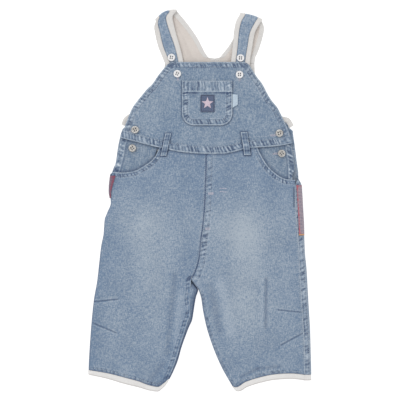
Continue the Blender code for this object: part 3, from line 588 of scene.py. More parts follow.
BIB_HEMS = ("bib_top", "bib_left", "bib_right")


def left_of_seam(name, x, y):
    """How far to the left of a named seam each place lies."""
    return beside(SEAMS[name][0], x, y)[1]


def sewn(x, y, names):
    """Height, and wear with painted light and shade, that the named seams add to the cloth beside them."""
    height = np.zeros(np.shape(x))
    wear_and_shade = np.zeros(np.shape(x))
    for name in names:
        line, width, ripple, length, strength, seed = SEAMS[name]
        along, aside = beside(line, x, y)
        near = (aside > -0.5) & (aside < width * 1.6)
        if not near.any():
            continue
        slanted = (along + 0.4 * aside + 2.6 * noise_1d(along / 15, seed + 60)) / length
        ripples = 0.7 * np.sin(2 * math.pi * slanted) + 0.9 * noise_1d(slanted * 2.3, seed)
        ripples += 0.75 * noise_2d(along / 2.3, aside / 2.3, seed)
        ripples += 0.3 * noise_1d(slanted * 4.7 + 0.4, seed + 30)
        inside = ease(0.6, 2.2, aside) * ease(width * 1.3, width * 0.85, aside) * near
        patchy = 0.8 + 0.4 * noise_1d(along / 23, seed + 90)
        height += ripple * inside * ripples * patchy
        # Painted shade in the hollows between puckers, deeper near the stitch line, and painted light on
        # their ridges
        deeper = 0.75 + 0.6 * bump(width - 0.8, 3.2, aside)
        shade = np.where(ripples > 0, 0.7 * ripples, 1.4 * ripples * deeper)
        wear_and_shade += strength * inside * np.clip(shade, -1.5, 0.9) * patchy
        # A pale worn line along the seam's edge with painted light on it, then a painted light band just
        # past the puckers
        worn_and_lit = bump(0.2, 1.5, aside) * near
        wear_and_shade += np.minimum(strength, 1.0) * worn_and_lit * (0.7 + 0.5 * noise_1d(along / 2.6, seed + 120))
        height += 0.12 * worn_and_lit
        wear_and_shade += 0.28 * strength * bump(width + 1.3, 1.4, aside) * near
        # Painted shade in the stitch grooves
        for stitch_at, groove_shade in ((2.6, 0.45), (width - 0.2, 0.55)):
            groove = bump(stitch_at, 1.3, aside) * near
            height -= 0.16 * groove
            wear_and_shade -= groove_shade * strength * groove
    return height, np.clip(wear_and_shade, *SEAM_WEAR_AND_SHADE)


def creased(x, y):
    """Height, and wear with painted light and shade, of the darts, the soft creases and the cloth's own
    slight waves.
    """
    height = 0.3 * noise_2d(x / 34 + 9, y / 46 + 5, 3) + 0.14 * noise_2d(x / 13, y / 19 + 3, 4)
    wear_and_shade = 0.1 * noise_2d(x / 21 + 2, y / 30, 5)
    for *run, width, rise in CREASES:
        near, _ = beside_run(x, y, run, width)
        height += rise * near
        # Painted shade in crease hollows and painted light on crease ridges
        wear_and_shade += 0.8 * rise * near
    for run in DARTS:
        near, aside = beside_run(x, y, run, 0.95)
        ridge, _ = beside_run(x, y, run, 2.6)
        height += 0.35 * ridge - 0.75 * near
        # Painted light beside each dart and painted shade in its fold
        wear_and_shade += 0.75 * ridge * bump(2.3, 1.4, np.abs(aside)) - 1.35 * near
    return height, wear_and_shade


def fade_at(x, y):
    total = np.zeros(np.shape(x))
    for x_middle, y_middle, across, along, strength in FADES:
        total += strength * np.exp(-((x - x_middle) / across) ** 2 - ((y - y_middle) / along) ** 2)
    return total * ease(50, 0, y) - 0.1 * ease(-10, 30, y)


# Meshes

def normals(points, up):
    """Unit normals of a grid of points, turned so that most of them point up, or down where up is -1."""
    down_rows = np.gradient(points, axis=0, edge_order=min(2, points.shape[0] - 1))
    along_columns = np.gradient(points, axis=1, edge_order=min(2, points.shape[1] - 1))
    across = np.cross(along_columns, down_rows)
    across /= np.maximum(np.linalg.norm(across, axis=2, keepdims=True), 1e-9)
    return across * np.sign(across[..., 2].mean()) * up


def moved_out(points, distance, up=1):
    distance = np.broadcast_to(distance, points.shape[:2])[..., None]
    return points + normals(points, up) * distance


def lifted(points, height):
    return points + np.dstack([np.zeros(height.shape), np.zeros(height.shape), height])


def attribute(mesh, name, values):
    made = mesh.attributes.new(name, "FLOAT", "POINT")
    made.data.foreach_set("value", np.asarray(values, np.float32).ravel())


def finish_piece(name, mesh, looks, node, slot_name, sharp=50):
    mesh.shade_smooth()
    mesh.set_sharp_from_angle(angle=math.radians(sharp))
    mesh.materials.append(looks)
    piece = bpy.data.objects.new(name, mesh)
    bpy.context.scene.collection.objects.link(piece)
    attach(piece, "root")
    if node:
        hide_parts(node)
    return piece


def outward_mesh(name, vertices, faces):
    """A mesh with its faces turned outwards."""
    mesh = bpy.data.meshes.new(name)
    mesh.from_pydata((np.array(vertices) * MM).tolist(), [], faces)
    work = bmesh.new()
    work.from_mesh(mesh)
    bmesh.ops.recalc_face_normals(work, faces=work.faces)
    work.to_mesh(mesh)
    work.free()
    return mesh


def cloth(node, outer, inner, looks, slot_name, wear_and_shade=0.0, fade_and_shade=0.0, along=None, pale=1.0):
    """A closed wall of cloth between two grids, which stands for a node."""
    shape = rows, columns = outer.shape[:2]
    count = rows * columns
    index = np.arange(count).reshape(shape)
    corners = [index[:-1, :-1], index[:-1, 1:], index[1:, 1:], index[1:, :-1]]
    quads = np.stack(corners, axis=2).reshape(-1, 4)
    border = np.concatenate([index[0], index[1:, -1], index[-1, -2::-1], index[-2:0:-1, 0]])
    after = np.roll(border, -1)
    rim = np.stack([border, count + border, count + after, after], axis=1)
    faces = np.concatenate([quads, count + quads[:, ::-1], rim]).tolist()
    vertices = np.concatenate([outer.reshape(-1, 3), inner.reshape(-1, 3)])
    mesh = outward_mesh(node + "_cloth", vertices, faces)
    step = np.linalg.norm(np.diff(outer, axis=0), axis=2)
    if along is None:
        along = np.vstack([np.zeros((1, columns)), np.cumsum(step, axis=0)])
    attribute(mesh, "wear_and_shade", np.concatenate([np.broadcast_to(wear_and_shade, shape).ravel(), np.zeros(count)]))
    attribute(mesh, "inside", np.repeat([0.0, pale], count))
    for name, values in (("fade_and_shade", fade_and_shade), ("along", along)):
        attribute(mesh, name, np.tile(np.broadcast_to(values, shape).ravel(), 2))
    piece = finish_piece(node + "_cloth", mesh, looks, node, slot_name)
    first, second = outer[1:, 1:] - outer[:-1, :-1], outer[1:, :-1] - outer[:-1, 1:]
    area = np.linalg.norm(np.cross(first, second), axis=2).sum() / 2
    return piece


def grid(columns, rows, top, bottom, across):
    """X and Y of a panel. Top and bottom give each column's ends, and across gives x at (column, y)."""
    columns, rows = np.asarray(columns, float), np.asarray(rows, float)
    y = top(columns) + (bottom(columns) - top(columns)) * rows[:, None]
    return across(np.broadcast_to(columns, y.shape), y), y


# Shader nodes

class Looks:
    """A material, with short calls that add its nodes."""

    def __init__(self, name, roughness, sheen=0.0):
        self.material = bpy.data.materials.new(name)
        self.material.use_nodes = True
        self.tree = self.material.node_tree
        self.shader = self.tree.nodes["Principled BSDF"]
        self.shader.inputs["Roughness"].default_value = roughness
        self.shader.inputs["Sheen Weight"].default_value = sheen
        self.place = self.node("ShaderNodeTexCoord").outputs["Object"]

    def node(self, kind, settings=None, **inputs):
        made = self.tree.nodes.new(kind)
        for name, value in (settings or {}).items():
            setattr(made, name, value)
        for name, value in inputs.items():
            socket = made.inputs[int(name[2:]) if name.startswith("in") else name.replace("_", " ")]
            self.feed(socket, value)
        return made

    def feed(self, socket, value):
        if isinstance(value, bpy.types.NodeSocket):
            self.tree.links.new(value, socket)
        else:
            socket.default_value = value

    def math(self, kind, first, second=0.0, third=0.0):
        return self.node("ShaderNodeMath", {"operation": kind}, in0=first, in1=second, in2=third).outputs[0]

    def scaled(self, value, factor, plus=0.0):
        return self.math("MULTIPLY_ADD", value, factor, plus)

    def clamp(self, value):
        return self.node("ShaderNodeClamp", Value=value).outputs[0]

    def noise(self, scale, detail=2.0, roughness=0.5, distortion=0.0):
        """Noise with its mean taken off. Scale is how many features there are in a metre, each way."""
        each_way = np.broadcast_to(scale, 3).tolist()
        mapped = self.node("ShaderNodeMapping", Vector=self.place, Scale=each_way).outputs[0]
        made = self.node(
            "ShaderNodeTexNoise", Vector=mapped, Scale=1.0, Detail=detail, Roughness=roughness,
            Distortion=distortion,
        )
        return self.math("SUBTRACT", made.outputs["Fac"], 0.5)

    def weave(self, period, angle):
        """Ridges a period apart, in millimetres, turned by an angle."""
        mapped = self.node(
            "ShaderNodeMapping", Vector=self.place, Rotation=(0, 0, math.radians(angle)),
        ).outputs[0]
        scale = 2 * math.pi / (20 * period * MM)
        made = self.node(
            "ShaderNodeTexWave", {"wave_type": "BANDS", "bands_direction": "X"}, Vector=mapped,
            Scale=scale, Distortion=1.2, Detail=1.0, Detail_Scale=3.0,
        )
        return made.outputs["Fac"]

    def attribute(self, name):
        return self.node("ShaderNodeAttribute", {"attribute_name": name}).outputs["Fac"]

    def mix(self, factor, first, second):
        made = self.node("ShaderNodeMix", {"data_type": "RGBA"}, in0=factor)
        self.feed(made.inputs[6], colour(first))
        self.feed(made.inputs[7], colour(second))
        return made.outputs[2]

    def finish(self, base, height=None, depth=0.2, strength=0.5):
        self.feed(self.shader.inputs["Base Color"], colour(base))
        if height is not None:
            bumped = self.node("ShaderNodeBump", Strength=strength, Distance=depth * MM, Height=height)
            self.tree.links.new(bumped.outputs[0], self.shader.inputs["Normal"])
        return self.material


def colour(value):
    """A shader colour from an sRGB triple, or the socket that it comes from."""
    if isinstance(value, bpy.types.NodeSocket):
        return value
    linear = [c / 12.92 if c <= 0.04045 else ((c + 0.055) / 1.055) ** 2.4 for c in value]
    return (*linear, 1)


# How strongly the wear and shade value paints denim, the pale of worn ridges with painted light, and the
# colours of painted shade on denim and on knit
DENIM_WEAR_AND_SHADE = 0.62
WORN_AND_LIT_DENIM = (0.78, 0.82, 0.86)
SHADED_DENIM = (0.25, 0.32, 0.44)
INNER_DENIM = (0.66, 0.70, 0.75)
SHADED_JERSEY = (0.60, 0.56, 0.54)
TAPE_RIB = 2.1
TAPE_END = (0.80, 0.58, 0.36)


def denim(name, dark, light, tone):
    """Washed denim: blue and pale threads, slubs, faded places, worn ridges with painted light, painted
    shade where the wear and shade value is below zero, and a pale inner side.
    """
    looks = Looks(name, roughness=0.88, sheen=0.12)
    slub = looks.noise((700, 210, 210), detail=3.0, roughness=0.6)
    weft = looks.noise((270, 800, 270))
    grain = looks.noise(640, detail=3.0, roughness=0.7)
    mottle = looks.noise((75, 60, 75), detail=4.0, roughness=0.65)
    cloud = looks.noise((22, 16, 22))
    mixed = looks.scaled(weft, 1.1)
    for threads, strength in ((slub, 1.75), (grain, 1.9), (mottle, 0.4), (cloud, 0.4)):
        mixed = looks.scaled(threads, strength, mixed)
    fade_and_shade = looks.math("ADD", looks.attribute("fade_and_shade"), tone)
    base = looks.mix(looks.clamp(looks.math("ADD", fade_and_shade, mixed)), dark, light)
    wear_and_shade = looks.attribute("wear_and_shade")
    # Worn ridges and painted light where the value is above zero
    worn_and_lit = looks.scaled(looks.scaled(grain, 0.5, wear_and_shade), DENIM_WEAR_AND_SHADE)
    base = looks.mix(looks.clamp(worn_and_lit), base, WORN_AND_LIT_DENIM)
    # Painted shade where the value is below zero
    base = looks.mix(looks.clamp(looks.scaled(wear_and_shade, -DENIM_WEAR_AND_SHADE)), base, SHADED_DENIM)
    base = looks.mix(looks.attribute("inside"), base, INNER_DENIM)
    height = looks.scaled(slub, 0.9, looks.scaled(looks.weave(0.85, 62), 0.45))
    return looks.finish(base, looks.scaled(grain, 1.0, height), depth=0.22, strength=0.55)


def jersey(name, base, shade, rib=0.0):
    """Cream knit: fine wales, a soft nap, painted shade where the wear and shade value is below zero and,
    where a rib is given, ribs across a binding.
    """
    looks = Looks(name, roughness=0.95, sheen=0.2)
    nap = looks.noise(420, detail=3.0, roughness=0.7)
    patchy = looks.noise((60, 45, 60), detail=3.0)
    wear_and_shade = looks.attribute("wear_and_shade")
    factor = looks.scaled(wear_and_shade, -0.8, looks.scaled(patchy, 1.0, looks.scaled(nap, 0.8, 0.4)))
    tint = looks.mix(looks.clamp(factor), base, shade)
    tint = looks.mix(looks.clamp(looks.scaled(wear_and_shade, -0.5)), tint, SHADED_JERSEY)
    height = looks.scaled(nap, 1.3, looks.scaled(looks.weave(1.3, 0), 0.35))
    if rib:
        turns = looks.scaled(looks.attribute("along"), 2 * math.pi / rib)
        height = looks.scaled(looks.math("SINE", turns), 0.35, height)
    return looks.finish(tint, height, depth=0.3, strength=0.6)


def ribbon(name, ground, rib, edge):
    """Woven side tape with fine ribs: the edge's colour where it has wear, and yellow where it is faded."""
    looks = Looks(name, roughness=0.7, sheen=0.1)
    ribs = looks.math("SINE", looks.scaled(looks.attribute("along"), 2 * math.pi / TAPE_RIB))
    speckle = looks.noise(500)
    base = looks.mix(looks.clamp(looks.scaled(speckle, 1.6, looks.scaled(ribs, 0.5, 0.3))), ground, rib)
    base = looks.mix(looks.clamp(looks.attribute("wear_and_shade")), base, edge)
    base = looks.mix(looks.clamp(looks.attribute("fade_and_shade")), base, TAPE_END)
    return looks.finish(base, looks.scaled(speckle, 0.6, ribs), depth=0.15, strength=0.5)


def woven(name, base, other):
    """A plain woven label or patch with a fine grain."""
    looks = Looks(name, roughness=0.75, sheen=0.1)
    speckle = looks.noise(700, roughness=0.6)
    tint = looks.mix(looks.clamp(looks.scaled(speckle, 2.0, 0.4)), base, other)
    grain = looks.math("ADD", looks.weave(1.1, 0), looks.weave(1.1, 90))
    return looks.finish(tint, grain, depth=0.12)


def thread(name, base, shade):
    looks = Looks(name, roughness=0.6, sheen=0.15)
    tint = looks.mix(looks.scaled(looks.noise(300), 1.2, 0.5), base, shade)
    return looks.finish(tint, looks.weave(0.5, 35), depth=0.08, strength=0.4)


def plastic(name, base, shade, edge, cloudy):
    """Button plastic, with painted shade round its rim in the edge colour and, on the pearl ones, a cloudy
    face.
    """
    looks = Looks(name, roughness=0.28)
    looks.shader.inputs["Coat Weight"].default_value = 0.3
    cloud = looks.noise(260, detail=3.0, distortion=1.5)
    tint = looks.mix(looks.clamp(looks.scaled(cloud, cloudy, 0.35)), base, shade)
    # Painted shade round the rim, in the edge colour
    tint = looks.mix(looks.attribute("wear_and_shade"), tint, edge)
    return looks.finish(tint, looks.noise(1500), depth=0.04, strength=0.25)


DENIM_LOOK = denim("leg_denim", (0.405, 0.495, 0.605), (0.66, 0.705, 0.75), 0.34)
BIB_LOOK = denim("bib_denim_look", (0.40, 0.49, 0.595), (0.655, 0.70, 0.745), 0.33)
FACING_LOOK = denim("facing_denim_look", (0.39, 0.475, 0.575), (0.63, 0.675, 0.72), 0.3)
STRAP_LOOK = denim("strap_denim_look", (0.41, 0.50, 0.61), (0.65, 0.70, 0.75), 0.34)
JERSEY_LOOK = jersey("cream_jersey", (0.865, 0.835, 0.81), (0.79, 0.755, 0.73))
BINDING_LOOK = jersey("cream_binding", (0.88, 0.87, 0.86), (0.79, 0.78, 0.77), rib=2.2)
CUFF_LOOK = jersey("white_cuff", (0.925, 0.92, 0.915), (0.845, 0.835, 0.83), rib=2.6)
TAPE_LOOKS = {
    # The left tape uses a darker copy of the ribbon, as painted shade
    "left": ribbon("shaded_ribbon", (0.52, 0.43, 0.49), (0.27, 0.26, 0.35), (0.52, 0.27, 0.35)),
    "right": ribbon("side_ribbon", (0.67, 0.61, 0.64), (0.38, 0.39, 0.48), (0.66, 0.36, 0.41)),
}
NAVY_LOOK = woven("navy_patch", (0.38, 0.43, 0.53), (0.26, 0.31, 0.43))
SKY_LOOK = woven("sky_tab", (0.76, 0.82, 0.87), (0.64, 0.71, 0.78))
PALE_THREAD = thread("pale_thread", (0.72, 0.76, 0.80), (0.60, 0.65, 0.71))
PINK_THREAD = thread("pink_thread", (0.88, 0.82, 0.86), (0.74, 0.66, 0.73))
TACK_THREAD = thread("tack_thread", (0.82, 0.81, 0.85), (0.69, 0.68, 0.74))
NAVY_THREAD_AND_HOLE_SHADE = thread("navy_thread_and_hole_shade", (0.22, 0.22, 0.26), (0.12, 0.12, 0.16))
WHITE_PLASTIC = plastic(
    "white_button", (0.97, 0.97, 0.97), (0.90, 0.90, 0.905), (0.66, 0.63, 0.64), 0.6,
)
PEARL_PLASTIC = plastic(
    "pearl_button", (0.88, 0.88, 0.87), (0.62, 0.60, 0.57), (0.42, 0.39, 0.38), 2.6,
)


# Legs

def shares_across(edge, middle):
    """Shares of the way across a front panel, closer together round each edge."""
    rounded = np.linspace(0, SHARE_OF_EDGE, edge)[:-1]
    flat = np.linspace(SHARE_OF_EDGE, 1 - SHARE_OF_EDGE, middle)
    return np.concatenate([rounded, flat, 1 - rounded[::-1]])


def leg_rows(top, hem, upper, shared, lower):
    """Y of a leg panel, row by row from its upper edge to the hem."""
    parts = [top + (LEVEL_TOP - top) * share for share in np.linspace(0, 1, upper)[:-1] ** 1.25]
    parts += [np.full(top.shape, y) for y in np.linspace(LEVEL_TOP, LEVEL_BOTTOM, shared)]
    parts += [LEVEL_BOTTOM + (hem - LEVEL_BOTTOM) * share for share in np.linspace(0, 1, lower)[1:]]
    return np.array(parts)


def front_top(leg, share):
    """The front panel's upper edge: under the waist band, then round the pocket's scoop."""
    centre = smooth(CENTRE_SEAM, BACK_WAIST)
    start_share = SCOOP[leg][0][0]
    x = centre + (SCOOP_START[leg] - centre) * np.minimum(share / start_share, 1)
    under_band = smooth(WAIST_SEAM, x) + WAIST_BAND_HEIGHT / 2 - WAIST_JOIN
    return np.where(share < start_share, under_band, smooth(SCOOP[leg], share))


def leg_surface(leg, x, y):
    """Height of a front leg's outer face, and its wear with painted light and shade."""
    height, wear_and_shade = sewn(x, y, [f"scoop_{leg}", f"centre_{leg}", f"hem_{leg}", f"inseam_{leg}"])
    if leg == "right":
        wear_and_shade += sewn(x, y, ["side_right"])[1] * 0.3
    from_centre = left_of_seam("centre_right", x, y)
    # Painted shade in the centre seam's step, with a painted light line beside it
    wear_and_shade += 0.45 * bump(-2.4, 1.3, from_centre) - 2.4 * bump(0.2, 1.5, from_centre)
    # Painted shade along the hem line, next to the cuff
    wear_and_shade -= 1.6 * bump(0.1, 1.7, left_of_seam(f"hem_{leg}", x, y))
    more_height, more_wear_and_shade = creased(x, y)
    height = (height + more_height) * ease(2.5, -1.5, above_waist(x, y))
    # Painted shadow under the waist band's lower edge and beside the belt loops
    shadow = bump(-1.2, 2.6, above_waist(x, y)) * (abs(x - 10) < 75)
    wear_and_shade = wear_and_shade + more_wear_and_shade - 0.9 * shadow - 1.1 * belt_loop_shadow(x, y)
    return front_height(x, y, leg) + height, wear_and_shade


def build_front_leg(leg):
    share = shares_across(8, 130)
    y = leg_rows(front_top(leg, share), smooth(HEM[leg], share), 44, 200, 16)
    x = front_across(leg, np.broadcast_to(share, y.shape), y)
    smooth_face = np.dstack([x, y, front_height(x, y, leg)])
    height, wear_and_shade = leg_surface(leg, x, y)
    steep = 1 - normals(smooth_face, 1)[..., 2]
    relief = (height - smooth_face[..., 2]) * ease(0.75, 0.3, steep)
    # Painted shade along each leg's outline, where the cloth rounds down
    from_side = off_line(OUTLINE[leg], x, y) + 20 * (y > 30)
    from_inside = off_line(INNER_OUTLINE[leg], x, y) + 20 * (1 - ease(*PARTING_IN_SHADE, y))
    wear_and_shade = wear_and_shade - 1.1 * ease(2.6, 0.2, np.minimum(from_side, from_inside))
    # Painted shade near the panel's edges and along the left leg's lower inner side, taken off the fade and
    # shade value
    if leg == "right":
        shade = 0.07 * ease(0.16, 0, 1 - share)
    else:
        shade = 0.12 * ease(0.16, 0, np.minimum(share, 1 - share))
        shade = shade + 0.2 * ease(0.2, 0, share) * ease(-120, -180, y)
    cloth(
        f"front_leg_{leg}", moved_out(smooth_face, relief), moved_out(smooth_face, -DENIM), DENIM_LOOK,
        "denim", wear_and_shade, fade_at(x, y) - shade, pale=0.15,
    )


def back_points(leg, y):
    """Points of the back panel's outer face: up round the inner edge, flat below, up round the side."""
    edge = len(BACK_STEPS)
    x, z = np.zeros(y.shape), np.zeros(y.shape)
    parted, side = ease(*PARTING_IN_PLAN, y), side_closed(leg, y)
    wraps = (
        (slice(0, edge), BACK_STEPS, INNER_OUTLINE[leg], OUTWARD[leg], legs_parted(y), parted),
        (slice(-edge, None), BACK_STEPS[::-1], OUTLINE[leg], -OUTWARD[leg], side, side),
    )
    for seam, (part, steps, outline, inward, raised, closed) in enumerate(wraps):
        rows, closed = y[:, part], closed[:, part]
        radius = smooth(ROUNDING, rows)
        turn = (seam_turns(leg, rows)[seam] - SEAM_TURN_GAP) * (1 - steps) - steps
        flat_distance = SEAM_ROOM + (radius - SEAM_ROOM) * steps
        from_edge = distance_at(turn, radius) * closed + flat_distance * (1 - closed)
        x[:, part] = smooth(outline, rows) + inward * (from_edge + SEAM_ROOM)
        crown = smooth(CROWN, rows) + fold_height(x[:, part], rows)
        z[:, part] = height_at(turn, smooth(RIM, rows), crown) * raised[:, part]
    start, end = x[:, edge - 1, None], x[:, -edge, None]
    x[:, edge:-edge] = start + (end - start) * BACK_MIDDLE
    return np.dstack([x, y, z])


BACK_STEPS = np.linspace(0, 1, 19)
BACK_MIDDLE = np.linspace(0, 1, 26)[1:-1]
BACK_COLUMNS = 2 * len(BACK_STEPS) + len(BACK_MIDDLE)


def back_share(leg):
    """Share of the way from inseam to side seam of each column of the back, near the hem."""
    x = back_points(leg, np.full((1, BACK_COLUMNS), LEVEL_BOTTOM))[0, :, 0]
    return np.clip((x - x[0]) / (x[-1] - x[0]), 0, 1)


def build_back_leg(leg):
    hem = smooth(HEM[leg], back_share(leg))
    y = leg_rows(np.full(BACK_COLUMNS, BACK_WAIST - GAP), hem, 26, 130, 8)
    points = back_points(leg, y)
    x = points[..., 0]
    on_top = ease(1.0, 4.0, points[..., 2])
    height, wear_and_shade = sewn(x, y, ["side_right"] if leg == "right" else [])
    hem_height, hem_wear_and_shade = sewn(x, y, [f"hem_{leg}"])
    height = (height + 0.6 * hem_height) * on_top
    # Painted shade along the inner edge, where the back shows between the legs, and along the outline
    from_inside = off_line(INNER_OUTLINE[leg], x, y)
    inner_edge_shade = ease(3.4, 0.4, from_inside) + 0.6 * ease(9, 5, from_inside) * (leg == "left")
    inner_edge_shade = inner_edge_shade * legs_parted(y) * on_top
    side_edge_shade = ease(2.0, 0.2, off_line(OUTLINE[leg], x, y))
    wear_and_shade = (wear_and_shade + 0.6 * hem_wear_and_shade) * on_top - 1.3 * inner_edge_shade - 0.9 * side_edge_shade
    cloth(
        f"back_leg_{leg}", moved_out(points, height, -1), moved_out(points, -DENIM, -1), DENIM_LOOK,
        "denim", wear_and_shade, fade_at(x, y) * 0.3 + (0.16 if leg == "right" else 0.04), pale=0.15,
    )


def build_cuffs(leg):
    """The binding of each leg opening: its front half and its back half."""
    front_share = shares_across(8, 92)

    def front_points(y):
        x = front_across(leg, np.broadcast_to(front_share, y.shape), y)
        return np.dstack([x, y, front_height(x, y, leg)])

    halves = (
        ("front", front_share, front_points, 1, [f"cuff_back_{leg}"]),
        ("back", back_share(leg), lambda y: back_points(leg, y), -1, ["floor"]),
    )
    rows = np.linspace(0, 1, 9)[:, None]
    for half, share, points_at, up, rests_on in halves:
        height = smooth(CUFF_HEIGHT[leg], share)
        y = smooth(HEM[leg], share) - GAP - (height - GAP) * rows
        points = points_at(y)
        middle_row = points[4, :, :2]
        along = np.cumsum(np.hypot(*np.diff(middle_row, axis=0, prepend=middle_row[:1]).T))
        wobble = 0.14 * noise_1d(along / 7, 41) + 0.08 * noise_1d(along / 2.6, 42)
        raised = (CUFF_RAISE * 1.5 + wobble) * rolled(rows) if up == 1 else 0.0
        outer = moved_out(points, raised, up)
        inner = moved_out(points, CUFF_RAISE * (up == 1) - DENIM - 2 * CUFF_RAISE, up)
        # Painted shade along the cuff's upper and lower edges
        wear_and_shade = -0.3 * (rows < 0.1) - 0.5 * (rows > 0.86)
        cloth(f"cuff_{half}_{leg}", outer, inner, CUFF_LOOK, "cuff", wear_and_shade, along=along)


def build_side_tape(leg):
    """A woven ribbon that lies round the side of the tube."""
    start, end, outer_turn, inner_start, inner_end = SIDE_TAPES[leg]
    y, share = np.meshgrid(np.linspace(start, end, 70), np.linspace(0, 1, 16), indexing="ij")
    inner_turn = inner_start + (inner_end - inner_start) * (start - y) / (start - end)
    turn = outer_turn + (inner_turn - outer_turn) * share
    x = smooth(OUTLINE[leg], y) - OUTWARD[leg] * distance_at(turn, smooth(ROUNDING, y))
    crown = smooth(CROWN, y) + fold_height(x, y)
    points = np.dstack([x, y, height_at(turn, smooth(RIM, y), crown)])
    thick = WEBBING + 0.12 * noise_2d(x / 4, y / 2.6, 44)
    red = 1.1 * bump(0.85, 0.3, share) * (0.8 + 0.5 * noise_1d(y / 1.6, 45))
    red += 0.7 * ease(start - 5, start - 2, y) + 0.4 * ease(end + 8, end + 4, y) - 0.3 * (share < 0.5)
    yellow = ease(end + 2.5, end + 0.8, y) * (leg == "right")
    cloth(
        f"side_tape_{leg}", moved_out(points, CLEAR + thick), moved_out(points, CLEAR), TAPE_LOOKS[leg],
        "tape", red, yellow,
    )


# Bib, waist band and what is sewn to them

def bib_across(share, y):
    left = smooth(FRONT_EDGE["left"], y)
    right = smooth(FRONT_EDGE["right"], y)
    return left + (right - left) * share


def waist_at(share, above):
    left, right = WAIST_SEAM[0][0], WAIST_SEAM[-1][0]
    return smooth(WAIST_SEAM, left + (right - left) * share) + above


def belt_loop_shadow(x, y):
    """Painted shadow round each belt loop: strongest just outside it, falling off with the distance."""
    total = np.zeros(np.shape(x))
    for x_top, y_top, x_bottom, y_bottom, width in BELT_LOOPS.values():
        t = np.clip((y - y_bottom) / (y_top - y_bottom), -0.1, 1.06)
        past_end = np.maximum(np.maximum(y - y_top, y_bottom - y), 0)
        aside = np.abs(x - (x_bottom + (x_top - x_bottom) * t)) - width / 2
        away = np.hypot(np.maximum(aside, 0), past_end)
        total += bump(0, 3.6, away) * (past_end < 3.6)
    return 1.5 * total


def hem_share(distance):
    """1 in the bib's hems, falling to 0 just past them, at a distance in from the edge."""
    return ease(HEM_WIDTH + 1.2, HEM_WIDTH - 0.4, distance)


def bib_surface(x, y):
    """Height of the bib's outer face, and its wear with painted light and shade."""
    height, wear_and_shade = sewn(x, y, BIB_HEMS)
    hem = np.zeros(x.shape)
    for name in BIB_HEMS:
        aside = left_of_seam(name, x, y)
        hem = np.maximum(hem, hem_share(aside) * (aside > -1))
    from_top = left_of_seam("bib_top", x, y)
    # Painted shade in a line just below the top hem
    wear_and_shade = wear_and_shade - (0.55 + 0.55 * noise_1d(x / 5, 67)) * bump(HEM_WIDTH + 0.6, 1.7, from_top)
    waves = 0.22 * noise_2d(x / 26 + 3, y / 30, 6) + 0.1 * noise_2d(x / 9, y / 12, 7)
    outside = left_of_seam("pocket", x, y)
    pocket_shadow = bump(-0.3, 2.6, outside) * (y < POCKET["top"] + 1) * (outside < 0.3)
    wear_and_shade = wear_and_shade + 0.08 * noise_2d(x / 17, y / 23, 8) - 1.1 * pocket_shadow - 0.9 * belt_loop_shadow(x, y)
    under_band = ease(WAIST_BAND_HEIGHT - 2, WAIST_BAND_HEIGHT + 2, above_waist(x, y))
    face = front_height(x, y) + HEM_RAISE * hem + (height + waves) * under_band
    return face, np.clip(wear_and_shade, *BIB_WEAR_AND_SHADE)


def build_bib():
    x, y = grid(
        np.linspace(0, 1, 150), np.linspace(0, 1, 100), lambda at: np.full_like(at, BIB_TOP),
        lambda at: waist_at(at, WAIST_BAND_HEIGHT / 2 + WAIST_JOIN), bib_across,
    )
    face = np.dstack([x, y, front_height(x, y)])
    height, wear_and_shade = bib_surface(x, y)
    wear_and_shade = wear_and_shade + 0.25 * bump(WAIST_BAND_HEIGHT + 4.5, 1.0, above_waist(x, y)) * (x > 15)
    cloth(
        "bib_front", moved_out(face, height - face[..., 2]), moved_out(face, -DENIM), BIB_LOOK,
        "bib_denim", wear_and_shade, 0.08 * noise_2d(x / 40, y / 40, 9),
    )


def band_hem(x, y):
    """How far the bib's side hems raise the waist band."""
    edge = np.minimum(x - smooth(FRONT_EDGE["left"], y), smooth(FRONT_EDGE["right"], y) - x)
    return HEM_RAISE * hem_share(edge)


def band_surface(x, y):
    """Height of the waist band's outer face, and its wear with painted shade."""
    height, wear_and_shade = sewn(x, y, ["waist"])
    above = above_waist(x, y)
    thickness = WAIST_BAND_THICKNESS * (1 - 0.55 * ease(0.55, 1.0, above / WAIST_BAND_HEIGHT))
    thickness *= 1 - 0.3 * bump(0, 0.8, above)
    face = front_height(x, y) + BAND_CLEAR + band_hem(x, y) + thickness + height
    return face, wear_and_shade - 1.2 * belt_loop_shadow(x, y)


def build_waist_band():
    x, y = grid(
        np.linspace(0, 1, 300), np.linspace(0, 1, 16), lambda at: waist_at(at, WAIST_BAND_HEIGHT),
        lambda at: waist_at(at, 0), bib_across,
    )
    face = np.dstack([x, y, front_height(x, y)])
    height, wear_and_shade = band_surface(x, y)
    cloth(
        "waist_band", moved_out(face, height - face[..., 2]),
        moved_out(face, BAND_CLEAR - 0.25 + band_hem(x, y)), BIB_LOOK, "bib_denim", wear_and_shade,
    )


def facing_rise(x, y):
    """How far a facing rises towards the seam under the waist band."""
    return FACING_RISE * ease(FACING_RISE_REACH, 0, -above_waist(x, y))


